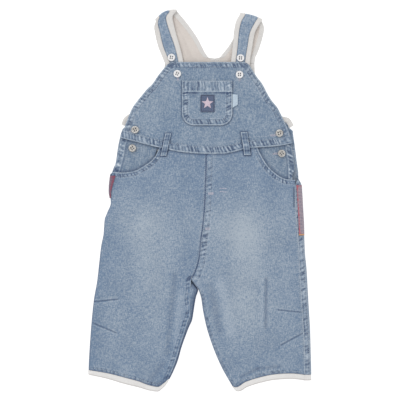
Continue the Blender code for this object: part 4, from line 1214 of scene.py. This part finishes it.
def build_hip_facing(leg):
    """The cloth seen inside a scooped pocket, which runs on a little below the front panel's edge."""
    start = SCOOP_START[leg] - OUTWARD[leg] * FACING_UNDERLAP
    mouth_share, mouth_top = SCOOP[leg][0]
    inner_share = mouth_share - 0.05

    def across(share, y):
        return start + (smooth(FACING_EDGE[leg], y) - start) * (share - inner_share) / (1 - inner_share)

    def top(share):
        x = across(share, np.full_like(share, mouth_top))
        return smooth(WAIST_SEAM, x) + WAIST_BAND_HEIGHT / 2 - WAIST_JOIN

    def bottom(share):
        mouth = smooth([(inner_share, mouth_top + 1)] + SCOOP[leg], share)
        return np.minimum(mouth, top(share)) - FACING_UNDERLAP

    columns = np.linspace(inner_share, 1, 60)
    x, y = grid(columns, np.linspace(0, 1, 50), top, bottom, across)
    x = x - OUTWARD[leg] * FACING_INSET * ease(46, 36, y) * ease(0.9, 1, columns)
    risen = ease(mouth_share + 0.03, mouth_share + 0.12, columns) * facing_rise(x, y)
    face = np.dstack([x, y, front_height(x, y) - FACING_DEPTH + risen])
    edge = off_line(FACING_EDGE[leg], x, y)
    in_hem = ease(9, 7, edge) * ease(0.0, 1.5, edge)
    ripples = 0.8 * noise_1d(y / 2.6 + 0.2 * x, 46) + 0.6 * noise_2d(x / 2.4, y / 1.7, 47)
    shadow = ease(-6, -0.5, left_of_seam(f"scoop_{leg}", x, y))
    seam_shadow = ease(4.5, 0.5, -above_waist(x, y))
    # Puckers in the hem painted light and shade, a pale worn edge, and painted shadow under the scoop's
    # edge and the waist band
    wear_and_shade = 1.6 * in_hem * ripples + 0.5 * bump(0, 1.5, edge) - 0.9 * shadow - 0.7 * seam_shadow
    # A painted light line just past the hem, and painted shade beyond it
    wear_and_shade += 0.7 * bump(8.2, 1.6, edge) - 0.7 * bump(10.6, 1.8, edge)
    wear_and_shade = wear_and_shade + 0.12 * noise_2d(x / 12, y / 15, 48)
    relief = 0.2 * in_hem * ripples + 0.15 * noise_2d(x / 12, y / 14, 49)
    cloth(
        f"hip_facing_{leg}", moved_out(face, relief), moved_out(face, -FACING), FACING_LOOK,
        "facing_denim", wear_and_shade,
    )


def build_belt_loop(side):
    """A strip that is sewn down at both ends and stands clear of the waist band between them."""
    x_top, y_top, x_bottom, y_bottom, width = BELT_LOOPS[side]
    over_band = BAND_CLEAR + WAIST_BAND_THICKNESS + CLEAR
    rise = [(0, CLEAR), (0.2, CLEAR), (0.33, over_band), (0.76, over_band), (0.9, CLEAR), (1, CLEAR)]
    rows = np.linspace(0, 1, 44)
    columns = np.linspace(-0.5, 0.5, 13)
    x = x_top + (x_bottom - x_top) * rows[:, None] + columns * width
    y = np.broadcast_to(y_top + (y_bottom - y_top) * rows[:, None], x.shape)
    face = np.dstack([x, y, front_height(x, y) + smooth(rise, rows)[:, None]])
    edge = np.abs(columns) * 2
    ends = np.minimum(rows, 1 - rows)
    thick = BELT_LOOP * (1 - 0.3 * edge**4) + 0.16 * noise_2d(x / 3.2, y / 3.4, 50)
    # Pale worn edges, the left one painted lighter as it faces the light; a darker middle; pale worn ends;
    # painted shade where the loop bends up over the band
    wear_and_shade = (0.55 + 0.45 * (columns < 0)) * bump(0.94, 0.3, edge) - 0.75 * bump(0.5, 0.28, edge)
    wear_and_shade = wear_and_shade + 0.8 * noise_1d(rows * 9, 51)[:, None] * (edge < 0.7) + 1.0 * bump(0, 0.05, ends)[:, None]
    wear_and_shade = wear_and_shade - 1.0 * bump(0.3, 0.06, rows)[:, None] - 1.0 * bump(0.8, 0.06, rows)[:, None]
    cloth(
        f"belt_loop_{side}", moved_out(face, thick), face, BIB_LOOK, "denim", wear_and_shade,
    )


def pocket_surface(x, y):
    """Height of the bib pocket's outer face, and its wear with painted light and shade."""
    height, wear_and_shade = sewn(x, y, ["pocket"])
    below_top = POCKET["top"] - y
    in_band = ease(POCKET_BAND_HEIGHT + 0.5, POCKET_BAND_HEIGHT - 0.5, below_top)
    bent = x + 1.5 * noise_1d(y / 5 + x / 12, 65) + 0.1 * y
    gathers = 0.6 * noise_1d(bent / 3.2, 54) + 0.9 * noise_1d(bent / 1.9, 55)
    gathers *= 0.8 + 0.6 * noise_2d(x / 6, y / 5, 66)
    spread = ease(0.0, 2.0, below_top) * ease(POCKET_BAND_HEIGHT, POCKET_BAND_HEIGHT - 2, below_top)
    height = height * (1 - in_band) + 0.34 * gathers * spread + HEM_RAISE * in_band
    # Gathers painted light on their ridges and shade in their folds
    wear_and_shade = wear_and_shade * (1 - 0.6 * in_band) + np.clip(1.3 * gathers - 0.2, -1.4, 0.9) * spread
    wear_and_shade = wear_and_shade + 0.9 * bump(0, 1.3, below_top) + 0.9 * bump(POCKET_BAND_HEIGHT - 0.6, 1.2, below_top)
    # Painted shadow under the band's lower edge
    wear_and_shade = wear_and_shade - (1.15 + 0.5 * noise_1d(x / 4, 68)) * bump(POCKET_BAND_HEIGHT + 1.5, 1.9, below_top)
    # Painted shade in soft wrinkles below the band
    sagging = ease(POCKET_BAND_HEIGHT + 14, POCKET_BAND_HEIGHT + 2, below_top)
    wear_and_shade = wear_and_shade + 0.7 * noise_1d((x - 0.5 * below_top) / 4.2, 64) * sagging * (1 - in_band)
    height = height + 0.16 * noise_2d(x / 11, y / 9, 56)
    return front_height(x, y) + CLEAR + POCKET_CLOTH + height, wear_and_shade


def build_pocket():
    """A patch pocket with round lower corners and a thicker gathered band along its top."""
    corner = POCKET["corner"]
    width = POCKET["right"] - POCKET["left"]

    def lower_edge(share):
        from_side = np.minimum(share, 1 - share) * width
        inside = np.clip(corner - from_side, 0, corner)
        return POCKET["bottom"] + corner - np.sqrt(corner**2 - inside**2)

    share = 0.5 - 0.5 * np.cos(np.linspace(0, math.pi, 90))
    share = 0.35 * share + 0.65 * np.linspace(0, 1, 90)
    x, y = grid(
        share, np.linspace(0, 1, 76), lambda at: np.full_like(at, POCKET["top"]), lower_edge,
        lambda at, y: POCKET["left"] + width * at,
    )
    height, wear_and_shade = pocket_surface(x, y)
    base = np.dstack([x, y, front_height(x, y) + CLEAR])
    cloth(
        "bib_pocket", np.dstack([x, y, height]), base, BIB_LOOK, "bib_denim", wear_and_shade, 0.05,
    )


def flat_piece(node, box, base, thickness, looks, slot_name, counts, slants=(0, 0), relief=0.0):
    """A small rectangle of cloth that lies on the bib, a given height over it."""
    x, y = grid(
        np.linspace(0, 1, counts[0]), np.linspace(0, 1, counts[1]),
        lambda at: box["top"] + slants[0] * at, lambda at: box["bottom"] + slants[1] * at,
        lambda at, y: box["left"] + (box["right"] - box["left"]) * at,
    )
    points = np.dstack([x, y, front_height(x, y) + base])
    edge = np.minimum(np.minimum(x - box["left"], box["right"] - x), 1.2) / 1.2
    top = lifted(points, thickness - 0.35 * (1 - edge) ** 2 + relief * noise_2d(x / 3, y / 3, 57))
    cloth(node, top, points, looks, slot_name)


# Back, straps and their bindings

def between(left, right, columns, height):
    """A flat grid of points between two lines."""
    columns = np.asarray(columns, float)[None, :, None]
    plan = left[:, None] * (1 - columns) + right[:, None] * columns
    return np.dstack([plan, np.full(plan.shape[:2], height)])


def back_side(leg):
    """Edge of the back above the waist: up the side, then in along the armhole's binding."""
    armhole = resampled(ARMHOLE[leg], 60)[::-1]
    bound = inset(armhole, BINDING_WIDTH + GAP, -OUTWARD[leg])
    side_places = np.linspace(BACK_WAIST, 96, 12)
    side = np.stack([smooth(OUTLINE[leg], side_places), side_places], axis=1)
    corner = bound[0] + [OUTWARD[leg] * UNDERARM_CORNER[0], UNDERARM_CORNER[1]]
    line = np.concatenate([side, [corner], bound])
    line[-1, 1] = BACK_TOP
    return line


def build_back_bib():
    left, right = back_side("left"), back_side("right")
    points = between(left, right, np.linspace(0, 1, 90), 0)
    edge = np.minimum(points[..., 0] - left[:, :1], right[:, :1] - points[..., 0])
    wear_and_shade = 0.5 * bump(0, 1.6, edge) + 0.5 * noise_1d(points[..., 1] / 4, 58) * ease(7, 5, edge)
    cloth("back_bib", points + [0, 0, BACK_CLOTH], points, DENIM_LOOK, "denim", wear_and_shade, -0.1)
    below_arm = ease(112, 104, left[:, 1]) * LINING_INSET
    lining_sides = left + np.outer(below_arm, [1, 0]), right - np.outer(below_arm, [1, 0])
    lining = between(*lining_sides, np.linspace(0.01, 0.99, 90), BACK_CLOTH + CLEAR)
    relief = 0.12 * noise_2d(lining[..., 0] / 9, lining[..., 1] / 14, 59)
    cloth("back_lining", lifted(lining, JERSEY + relief), lining, JERSEY_LOOK, "jersey")


def build_armhole_binding(leg):
    outer = resampled(ARMHOLE[leg], 70)
    inner = inset(outer, BINDING_WIDTH, -OUTWARD[leg])
    outer[0, 1] = BACK_TOP
    inner[0, 1] = BACK_TOP
    across = np.linspace(0, 1, 11)
    base = between(outer, inner, across, 0)
    thick = DENIM + JERSEY + BINDING_RAISE - ROUNDED_CORNER * (1 - rolled(across))
    wobble = 0.12 * noise_2d(base[..., 0] / 3, base[..., 1] / 3, 61)
    top = lifted(base, np.broadcast_to(thick, base.shape[:2]) + wobble)
    cloth(f"armhole_binding_{leg}", top, base, BINDING_LOOK, "jersey")


def strap_rows(side):
    """Rows of a strap: left and right edge in plan, height of its middle layer, and its outward way."""
    radius = (STRAP_FRONT_HEIGHT - STRAP_BACK_HEIGHT) / 2
    reach = radius + STRAP_HALF + BINDING_RAISE
    fold = np.array(STRAP_FOLD[side], float).reshape(2, 2)
    run = fold[1] - fold[0]
    outward = np.array([-run[1], run[0]]) / np.hypot(*run)
    fold = fold - outward * reach
    rows = []
    back = strap_edges(STRAP_BACK[side] + [fold.ravel()], 45)[:-1]
    front = strap_edges([fold.ravel()] + STRAP_FRONT[side], 60)[1:]
    for edges in back:
        rows.append((edges, STRAP_BACK_HEIGHT, np.array([0, 0, -1.0])))
    for angle in np.radians(np.linspace(-90, 90, 13)):
        shift = np.tile(outward, 2) * radius * math.cos(angle)
        height = STRAP_BACK_HEIGHT + radius * (1 + math.sin(angle))
        way = np.append(outward * math.cos(angle), math.sin(angle))
        rows.append((fold.ravel() + shift, height, way))
    for edges in front:
        rows.append((edges, STRAP_FRONT_HEIGHT, np.array([0, 0, 1.0])))
    return rows


def strap_edges(rows, count):
    """A strap's edges, spread evenly over its rows: left x and y, right x and y."""
    index = np.arange(len(rows))
    at = np.linspace(0, index[-1], count)
    return np.stack([smooth(list(zip(index, values)), at) for values in zip(*rows)], axis=1)


def strap_layer(side, rows, start, end, columns, offsets):
    """Points of one layer of a strap, between two distances in from its left edge.

    A distance below zero is measured from the right edge. Offsets gives how far out from the strap's
    middle layer each column lies, from the row's number and its outward way.
    """
    points = []
    fold = np.array([edges for edges, _, way in rows if abs(way[2]) < 0.2]).mean(axis=0)
    away = np.array([np.hypot(*(edges - fold)[:2]) for edges, _, _ in rows])
    bulges = STRAP_BULGE[side] * np.exp(-(away / 16) ** 2)
    widened = 1 + BINDING_WIDENS[side] * np.exp(-(away / 24) ** 2)
    for number, (edges, height, way) in enumerate(rows):
        left, right = edges[:2], edges[2:]
        width = np.hypot(*(right - left))
        across = (right - left) / width
        from_left, from_right = (1, widened[number]) if side == "left" else (widened[number], 1)
        near = start * from_left if start >= 0 else width + start * from_right
        far = end * from_left if end > 0 else width + end * from_right
        distances = near + (far - near) * columns
        plan = left + across * distances[:, None]
        outward = np.array([-across[1], across[0]])
        plan = plan + outward * (bulges[number] * np.sin(math.pi * distances / width))[:, None]
        middle = np.column_stack([plan, np.full(len(plan), height)])
        points.append(middle + way * offsets(number, way)[:, None])
    return np.array(points)


def build_strap(side):
    """Denim outside, lining inside, and a binding along each edge, all turned over at the shoulder."""
    rows = strap_rows(side)
    bound = BINDING_WIDTH + GAP
    columns = np.linspace(0, 1, 18)
    seed = 70 if side == "left" else 80
    on_top = np.array([(way[2] + 1) / 2 for _, _, way in rows])[:, None]

    def denim_face(number, way):
        wave = 0.16 * noise_1d(columns * 3 + number / 7, seed) * (way[2] + 1) / 2
        return STRAP_HALF + wave - 0.15 * np.abs(2 * columns - 1) ** 6

    def flat(offset):
        return lambda number, way: np.full(len(columns), offset)

    number = np.arange(len(rows))[:, None]
    edge = np.minimum(columns, 1 - columns)
    # Painted shade where the denim meets the bindings, with a paler line just inside it
    wear_and_shade = -0.55 * bump(0, 0.09, edge) + 0.3 * bump(0.17, 0.07, edge)
    wear_and_shade = wear_and_shade + 0.22 * noise_1d(number / 2.2 + columns * 2, seed + 1) * on_top
    cloth(
        f"strap_{side}", strap_layer(side, rows, bound, -bound, columns, denim_face),
        strap_layer(side, rows, bound, -bound, columns, flat(GAP / 2)), STRAP_LOOK, "denim",
        wear_and_shade, 0.05,
    )

    def lining_face(number, way):
        return -STRAP_HALF + 0.1 * noise_1d(columns * 4 + number / 9, seed + 2)

    close = BINDING_WIDTH - 0.2
    lining_outer = strap_layer(side, rows, close, -close, columns, flat(-GAP / 2))
    lining_inner = strap_layer(side, rows, close, -close, columns, lining_face)
    lines = -0.35 * bump(0.3, 0.045, columns) - 0.3 * bump(0.62, 0.045, columns)
    loop_shadow = -0.4 * ease(30, 44, number) * ease(62, 50, number)
    cloth(
        f"strap_lining_{side}", lining_inner, lining_outer, JERSEY_LOOK, "jersey",
        lines + loop_shadow + np.zeros((len(rows), 1)),
    )

    around = np.linspace(0, 1, 11)
    corner = ROUNDED_CORNER * (1 - rolled(around))

    def binding_outer(number, way):
        on_front = (way[2] + 1) / 2
        wave = 0.14 * noise_1d(np.full(len(around), number / 3.1), seed + 3)
        return STRAP_HALF + (BINDING_RAISE - corner + wave) * on_front

    def binding_inner(number, way):
        return -STRAP_HALF - 0.12 + 0.6 * corner

    for edge_name, start, end in (("left", 0, BINDING_WIDTH), ("right", -BINDING_WIDTH, 0)):
        outer = strap_layer(side, rows, start, end, around, binding_outer)
        inner = strap_layer(side, rows, start, end, around, binding_inner)
        place = "outer" if edge_name == side else "inner"
        # Painted shade along both edges of each binding
        wear_and_shade = -0.35 * bump(0, 0.12, around) - 0.35 * bump(1, 0.12, around) + 0 * on_top
        cloth(
            f"strap_binding_{place}_{side}", outer, inner, BINDING_LOOK, "jersey",
            wear_and_shade,
        )


# Thread: each stitch is a short rounded dash

def run_mesh(name, dashes, looks, slot_name="jersey"):
    """One piece of many dashes. Each dash is a middle, a half-length vector, a half-width and a height."""
    vertices, faces = [], []
    up = np.array([0, 0, 1.0])
    for middle, half, width, height in dashes:
        middle, half = np.array(middle, float), np.array(half, float)
        side = np.cross(up, half)
        side /= np.linalg.norm(side)
        first = len(vertices)
        vertices.append(middle - half - up * height * 0.3)
        for at, size in ((-0.62, 0.8), (0.62, 0.8)):
            centre = middle + half * at
            ring = (side * width, up * height, -side * width, -up * height)
            vertices += [centre + offset * size for offset in ring]
        vertices.append(middle + half - up * height * 0.3)
        for step in range(4):
            after = (step + 1) % 4
            faces.append((first, first + 1 + after, first + 1 + step))
            faces.append((first + 1 + step, first + 1 + after, first + 5 + after, first + 5 + step))
            faces.append((first + 5 + step, first + 5 + after, first + 9))
    return finish_piece(name, outward_mesh(name, vertices, faces), looks, None, slot_name, sharp=80)


def stitches(line, surface, pitch=3.1, length=2.2, width=0.33, height=0.24, skip=0.0):
    """Dashes along a line of x and y points, on a surface that gives the height at each place."""
    line = np.asarray(line, float)
    covered = distances_along(line)
    places = np.arange(pitch / 2 + skip, covered[-1] - skip, pitch)

    def on_line(at):
        x, y = np.interp(at, covered, line[:, 0]), np.interp(at, covered, line[:, 1])
        return np.stack([x, y, surface(x, y)], axis=1)

    start, end = on_line(places - length / 2), on_line(places + length / 2)
    middle = on_line(places)
    middle[:, 2] += height * 0.7
    return [(m, (e - s) / 2, width, height) for m, s, e in zip(middle, start, end)]


def on_bib(x, y):
    return bib_surface(x, y)[0]


def on_pocket(x, y):
    return pocket_surface(x, y)[0]


def on_band(x, y):
    return band_surface(x, y)[0]


def on_facing(x, y):
    return front_height(x, y) - FACING_DEPTH + facing_rise(x, y) + 0.1


def on_leg(leg):
    return lambda x, y: leg_surface(leg, x, y)[0]


def stitch_rows(line, distances, surface, skip=0.0):
    """Rows of stitches along a line, at each of the distances to its left."""
    return [dash for away in distances for dash in stitches(beside_line(line, away), surface, skip=skip)]


def build_stitches():
    lines = {name: row[0] for name, row in SEAMS.items()}
    bib = []
    for name in BIB_HEMS:
        line = resampled(lines[name], 60)
        bib += stitch_rows(line, [1.6], on_bib, 1) + stitch_rows(line, [HEM_WIDTH - 0.8], on_bib, 7)
    band = lines["waist"][3:-3]
    bib += stitch_rows(band, [1.5, WAIST_BAND_HEIGHT - 1.6], on_band)
    bib += stitch_rows(band[42:68], [WAIST_BAND_HEIGHT + 4.5], on_bib)
    run_mesh("stitches_bib", bib, PALE_THREAD)

    pocket = stitch_rows(lines["pocket"], [1.4], on_pocket)
    pocket += stitch_rows(lines["pocket"], [7.4], on_pocket, 19)
    across = np.array([(POCKET["left"] + 1, 0.0), (POCKET["right"] - 1, 0.0)])
    for below in (1.2, POCKET_BAND_HEIGHT - 1.6):
        pocket += stitches(across + [0, POCKET["top"] - below], on_pocket)
    run_mesh("stitches_pocket", pocket, PALE_THREAD)

    legs = []
    for leg in ("left", "right"):
        legs += stitch_rows(lines[f"scoop_{leg}"], [1.5, 6.4], on_leg(leg), 2)
        legs += stitch_rows(hem_line(leg, 0.06, 0.94), [3.4], on_leg(leg))
    legs += stitch_rows(lines["centre_left"], [1.6], on_leg("left"), 4)
    legs += stitch_rows(lines["centre_right"][:-3], [2.0, 8.2], on_leg("right"), 4)
    legs += stitch_rows(lines["inseam_left"], [4.6], on_leg("left"), 14)
    run_mesh("stitches_legs", legs, PALE_THREAD)
    side = stitch_rows(lines["side_right"][3:-2], [-1.4, 1.4, 7.2], side_top, 3)
    run_mesh("stitches_side", side, PALE_THREAD)

    tacks = []
    for x, y, across, count in ((15.5, 9.4, 7.0, 7), (11.0, -41.5, 6.0, 6)):
        for place in x + across * (np.arange(count) / (count - 1) - 0.5):
            ends = np.array([(place, y - 2.4), (place + 0.8, y + 2.4)])
            tacks += stitches(ends, on_leg("right"), pitch=4.6, length=4.4, width=0.45)
    for y in (16.8, 11.8):
        ends = np.array([(28.5, y + 0.5), (39.5, y - 0.3)])
        tacks += stitches(ends, on_leg("right"), pitch=2.6, length=2.4, width=0.6)
    run_mesh("bar_tacks", tacks, TACK_THREAD)


def side_top(x, y):
    """Height of the cloth round the right side seam."""
    return front_height(x, y) + sewn(x, y, ["side_right"])[0] + 0.1


# Buttons with their thread and buttonholes

# Share of the radius, share of the thickness, and how much of the rim's painted shade shows
BUTTON_PROFILE = [
    (0.0, 0.0, 0.3), (0.82, 0.0, 0.6), (0.95, 0.16, 0.9), (1.0, 0.42, 0.9), (0.985, 0.66, 0.7),
    (0.93, 0.88, 0.35), (0.85, 0.99, 0.1), (0.78, 1.0, 0.0), (0.71, 0.94, 0.15), (0.65, 0.82, 0.55),
    (0.58, 0.75, 0.25), (0.3, 0.74, 0.0), (0.0, 0.74, 0.0),
]


def circle(radius, height, count, start=0.0):
    """Points spread round a circle."""
    angles = [start + 2 * math.pi * step / count for step in range(count)]
    return [(radius * math.cos(angle), radius * math.sin(angle), height) for angle in angles]


def turned_button(sides=40):
    """A button with a raised rim, a dished middle and four holes."""
    work = bmesh.new()
    rings = []
    for share, high, _ in BUTTON_PROFILE:
        count = sides if share else 1
        ring = circle(share * BUTTON_DIAMETER / 2 * MM, high * BUTTON_THICKNESS * MM, count)
        rings.append([work.verts.new(spot) for spot in ring])
    for lower, upper in zip(rings, rings[1:]):
        for step in range(sides):
            after = (step + 1) % sides
            if len(lower) == 1:
                work.faces.new((lower[0], upper[after], upper[step]))
            elif len(upper) == 1:
                work.faces.new((lower[step], lower[after], upper[0]))
            else:
                work.faces.new((lower[step], lower[after], upper[after], upper[step]))
    bmesh.ops.recalc_face_normals(work, faces=work.faces)
    mesh = bpy.data.meshes.new("button_blank")
    work.to_mesh(mesh)
    work.free()
    cutter = bpy.data.meshes.new("button_holes")
    work = bmesh.new()
    radius = BUTTON_HOLE_DIAMETER / 2 * MM
    for spot in circle(BUTTON_HOLE_RADIUS * MM, 0, 4, start=math.pi / 4):
        made = bmesh.ops.create_cone(
            work, cap_ends=True, segments=16, radius1=radius, radius2=radius,
            depth=BUTTON_THICKNESS * 3 * MM,
        )
        bmesh.ops.translate(work, verts=made["verts"], vec=spot)
    work.to_mesh(cutter)
    work.free()
    blank = bpy.data.objects.new("button_blank", mesh)
    rods = bpy.data.objects.new("button_holes", cutter)
    for piece in (blank, rods):
        bpy.context.scene.collection.objects.link(piece)
    drill = blank.modifiers.new("Holes", "BOOLEAN")
    drill.operation = "DIFFERENCE"
    drill.object = rods
    bpy.context.view_layer.update()
    graph = bpy.context.evaluated_depsgraph_get()
    drilled = bpy.data.meshes.new_from_object(blank.evaluated_get(graph))
    for piece in (blank, rods):
        bpy.data.objects.remove(piece)
    return drilled


def build_button(node, pattern, looks, slot_name, angle, tint=1.0):
    """A button that stands for a node and lies where the node does, with very dark thread in its holes that
    also paints their shade.
    """
    low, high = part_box(node)
    middle = np.array([(low[0] + high[0]) / 2, (low[1] + high[1]) / 2, low[2]]) / MM
    mesh = pattern.copy()
    mesh.name = node + "_plastic"
    spots = np.zeros(len(mesh.vertices) * 3)
    mesh.vertices.foreach_get("co", spots)
    spots = spots.reshape(-1, 3) / MM
    from_middle = np.hypot(spots[:, 0], spots[:, 1]) / (BUTTON_DIAMETER / 2)
    rings = sorted((row[0], row[2]) for row in BUTTON_PROFILE[3:])
    shade = np.interp(from_middle, *zip(*rings)) * tint
    attribute(mesh, "wear_and_shade", np.clip(shade, 0, 1))
    turn = math.radians(angle)
    turned = np.column_stack([
        spots[:, 0] * math.cos(turn) - spots[:, 1] * math.sin(turn),
        spots[:, 0] * math.sin(turn) + spots[:, 1] * math.cos(turn), spots[:, 2],
    ])
    mesh.vertices.foreach_set("co", ((turned + middle) * MM).ravel())
    finish_piece(node + "_plastic", mesh, looks, node, slot_name, sharp=35)
    # Very dark thread in each hole, which also stands for the painted shade in the holes
    dashes = []
    face = middle[2] + BUTTON_THICKNESS * 0.76
    half = np.array([-math.sin(turn), math.cos(turn), 0.0]) * 1.15
    for across, along, _ in circle(BUTTON_HOLE_RADIUS, 0, 4, start=turn + math.pi / 4):
        dashes.append(((middle[0] + across, middle[1] + along, face + 0.12), half, 0.95, 0.3))
    run_mesh(node + "_thread", dashes, NAVY_THREAD_AND_HOLE_SHADE, "navy")


def build_buttonhole(name, x, y, angle, length, surface):
    """A worked buttonhole: two rows of close stitches with a bar at each end."""
    turn = math.radians(angle)
    along = np.array([math.cos(turn), math.sin(turn)])
    aside = np.array([-along[1], along[0]])
    dashes = []
    for side in (-1, 1):
        for place in np.arange(-length / 2, length / 2 + 0.01, 0.55):
            spot = np.array([x, y]) + along * place + aside * side * 0.75
            ends = np.array([spot - aside * 0.6, spot + aside * 0.6])
            dashes += stitches(ends, surface, pitch=1.1, length=1.2, width=0.3)
    run_mesh(name, dashes, TACK_THREAD, "jersey")


# Kind of button, its turn on the left and on the right, its plastic, slot and how much of its rim's painted
# shade shows
BUTTONS = (
    ("button_strap_{}", (-12, -4), WHITE_PLASTIC, "white", 0.6),
    ("button_bib_{}", (-22, 4), WHITE_PLASTIC, "white", 0.6),
    ("button_side_{}_upper", (20, 20), PEARL_PLASTIC, "pearl", 1.0),
    ("button_side_{}_lower", (35, 35), PEARL_PLASTIC, "pearl", 1.0),
)

# Each buttonhole's middle, turn and length, and the cloth that it is in
BUTTONHOLES = {
    "bib_left": (-31.8, 178.6, -88, 11, on_bib), "bib_right": (57.5, 177.4, 90, 11, on_bib),
    "side_right_upper": (107.0, 93.6, 4, 10, on_bib), "side_right_lower": (111.0, 67.2, 4, 10, on_facing),
    "side_left_upper": (-99.5, 98.3, 2, 10, on_bib),
}


def build_buttons():
    pattern = turned_button()
    for number, side in enumerate(("left", "right")):
        for name, turns, looks, slot_name, tint in BUTTONS:
            build_button(name.format(side), pattern, looks, slot_name, turns[number], tint)
    for name, hole in BUTTONHOLES.items():
        build_buttonhole("buttonhole_" + name, *hole)


# Embroidered star on the pocket's patch

STAR_MIDDLE = np.array([11.2, 139.6])
STAR_RADII = (9.0, 4.0)
PATCH_HEM = 1.2


def build_star():
    corners = []
    for step in range(10):
        angle = math.radians(90 + 36 * step)
        corners.append(STAR_MIDDLE + STAR_RADII[step % 2] * np.array([math.cos(angle), math.sin(angle)]))
    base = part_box("pocket_patch")[1][2] / MM
    dashes = []
    for corner, after in zip(corners, corners[1:] + corners[:1]):
        for share in np.linspace(0, 0.9, 7):
            rim = corner * (1 - share) + after * share
            spot, half = (rim + STAR_MIDDLE) / 2, (rim - STAR_MIDDLE) / 2
            dashes.append(((*spot, base + 0.1), (*half, 0.0), 0.42, 0.3))
    run_mesh("patch_star", dashes, PINK_THREAD, "jersey")
    left, right = PATCH["left"] + PATCH_HEM, PATCH["right"] - PATCH_HEM
    top, bottom = PATCH["top"] - PATCH_HEM, PATCH["bottom"] + PATCH_HEM
    route = [(left, top), (right, top), (right, bottom), (left, bottom), (left, top)]
    border = []
    for ends in zip(route, route[1:]):
        border += stitches(np.array(ends), lambda x, y: np.full(np.shape(x), base - 0.1), 1.6, 1.3)
    run_mesh("patch_border", border, NAVY_THREAD_AND_HOLE_SHADE, "navy")


# Stage

FLOOR_REACH = 30.0
FLOOR_DROP = 0.0002
FLOOR_GLOW = 0.85
WORLD_LIGHT = 0.8

# Name, place and size in metres, and power of each lamp
LAMPS = (("key", (-0.9, 1.1, 1.3), 0.9, 9.0), ("fill", (1.2, -0.6, 1.6), 1.4, 3.5))
CAMERA_PLACE = (0.00036, 0, 1.3744)


def in_scene(name, data, place):
    made = bpy.data.objects.new(name, data)
    made.location = place
    bpy.context.scene.collection.objects.link(made)
    return made


def build_stage():
    mesh = bpy.data.meshes.new("floor")
    corners = [(x * FLOOR_REACH, y * FLOOR_REACH, 0) for x, y in ((-1, -1), (1, -1), (1, 1), (-1, 1))]
    mesh.from_pydata(corners, [], [(0, 1, 2, 3)])
    floor = in_scene("floor", mesh, (0, 0, -FLOOR_DROP))
    looks = Looks("pale_floor", roughness=0.9)
    looks.shader.inputs["Emission Color"].default_value = (1, 1, 1, 1)
    looks.shader.inputs["Emission Strength"].default_value = FLOOR_GLOW
    mesh.materials.append(looks.finish((0.6, 0.6, 0.6)))

    world = bpy.data.worlds.new("studio")
    world.use_nodes = True
    world.node_tree.nodes["Background"].inputs["Color"].default_value = (1, 1, 1, 1)
    world.node_tree.nodes["Background"].inputs["Strength"].default_value = WORLD_LIGHT
    bpy.context.scene.world = world

    for name, place, size, power in LAMPS:
        data = bpy.data.lights.new(name, "AREA")
        data.size = size
        data.energy = power
        lamp = in_scene(name, data, place)
        x, y, z = place
        lamp.rotation_euler = (math.atan2(math.hypot(x, y), z), 0, math.atan2(-y, -x) - math.pi / 2)

    data = bpy.data.cameras.new("camera")
    data.lens = 85
    data.sensor_width = 36
    bpy.context.scene.camera = in_scene("camera", data, CAMERA_PLACE)
    bpy.context.scene.view_settings.view_transform = "Standard"


def main():
    build_stage()
    for side in ("left", "right"):
        build_front_leg(side)
        build_back_leg(side)
        build_cuffs(side)
        build_side_tape(side)
        build_hip_facing(side)
        build_belt_loop(side)
        build_armhole_binding(side)
        build_strap(side)
    build_bib()
    build_waist_band()
    build_pocket()
    patch_base = 2 * CLEAR + POCKET_CLOTH
    flat_piece("pocket_patch", PATCH, patch_base, JERSEY - 0.1, NAVY_LOOK, "navy", (24, 28), relief=0.1)
    flat_piece("pocket_tab", TAB, CLEAR, FOLDED_TAB - 0.1, SKY_LOOK, "sky", (12, 20), (-0.8, 4.6), 0.2)
    build_back_bib()
    build_stitches()
    build_buttons()
    build_star()


main()
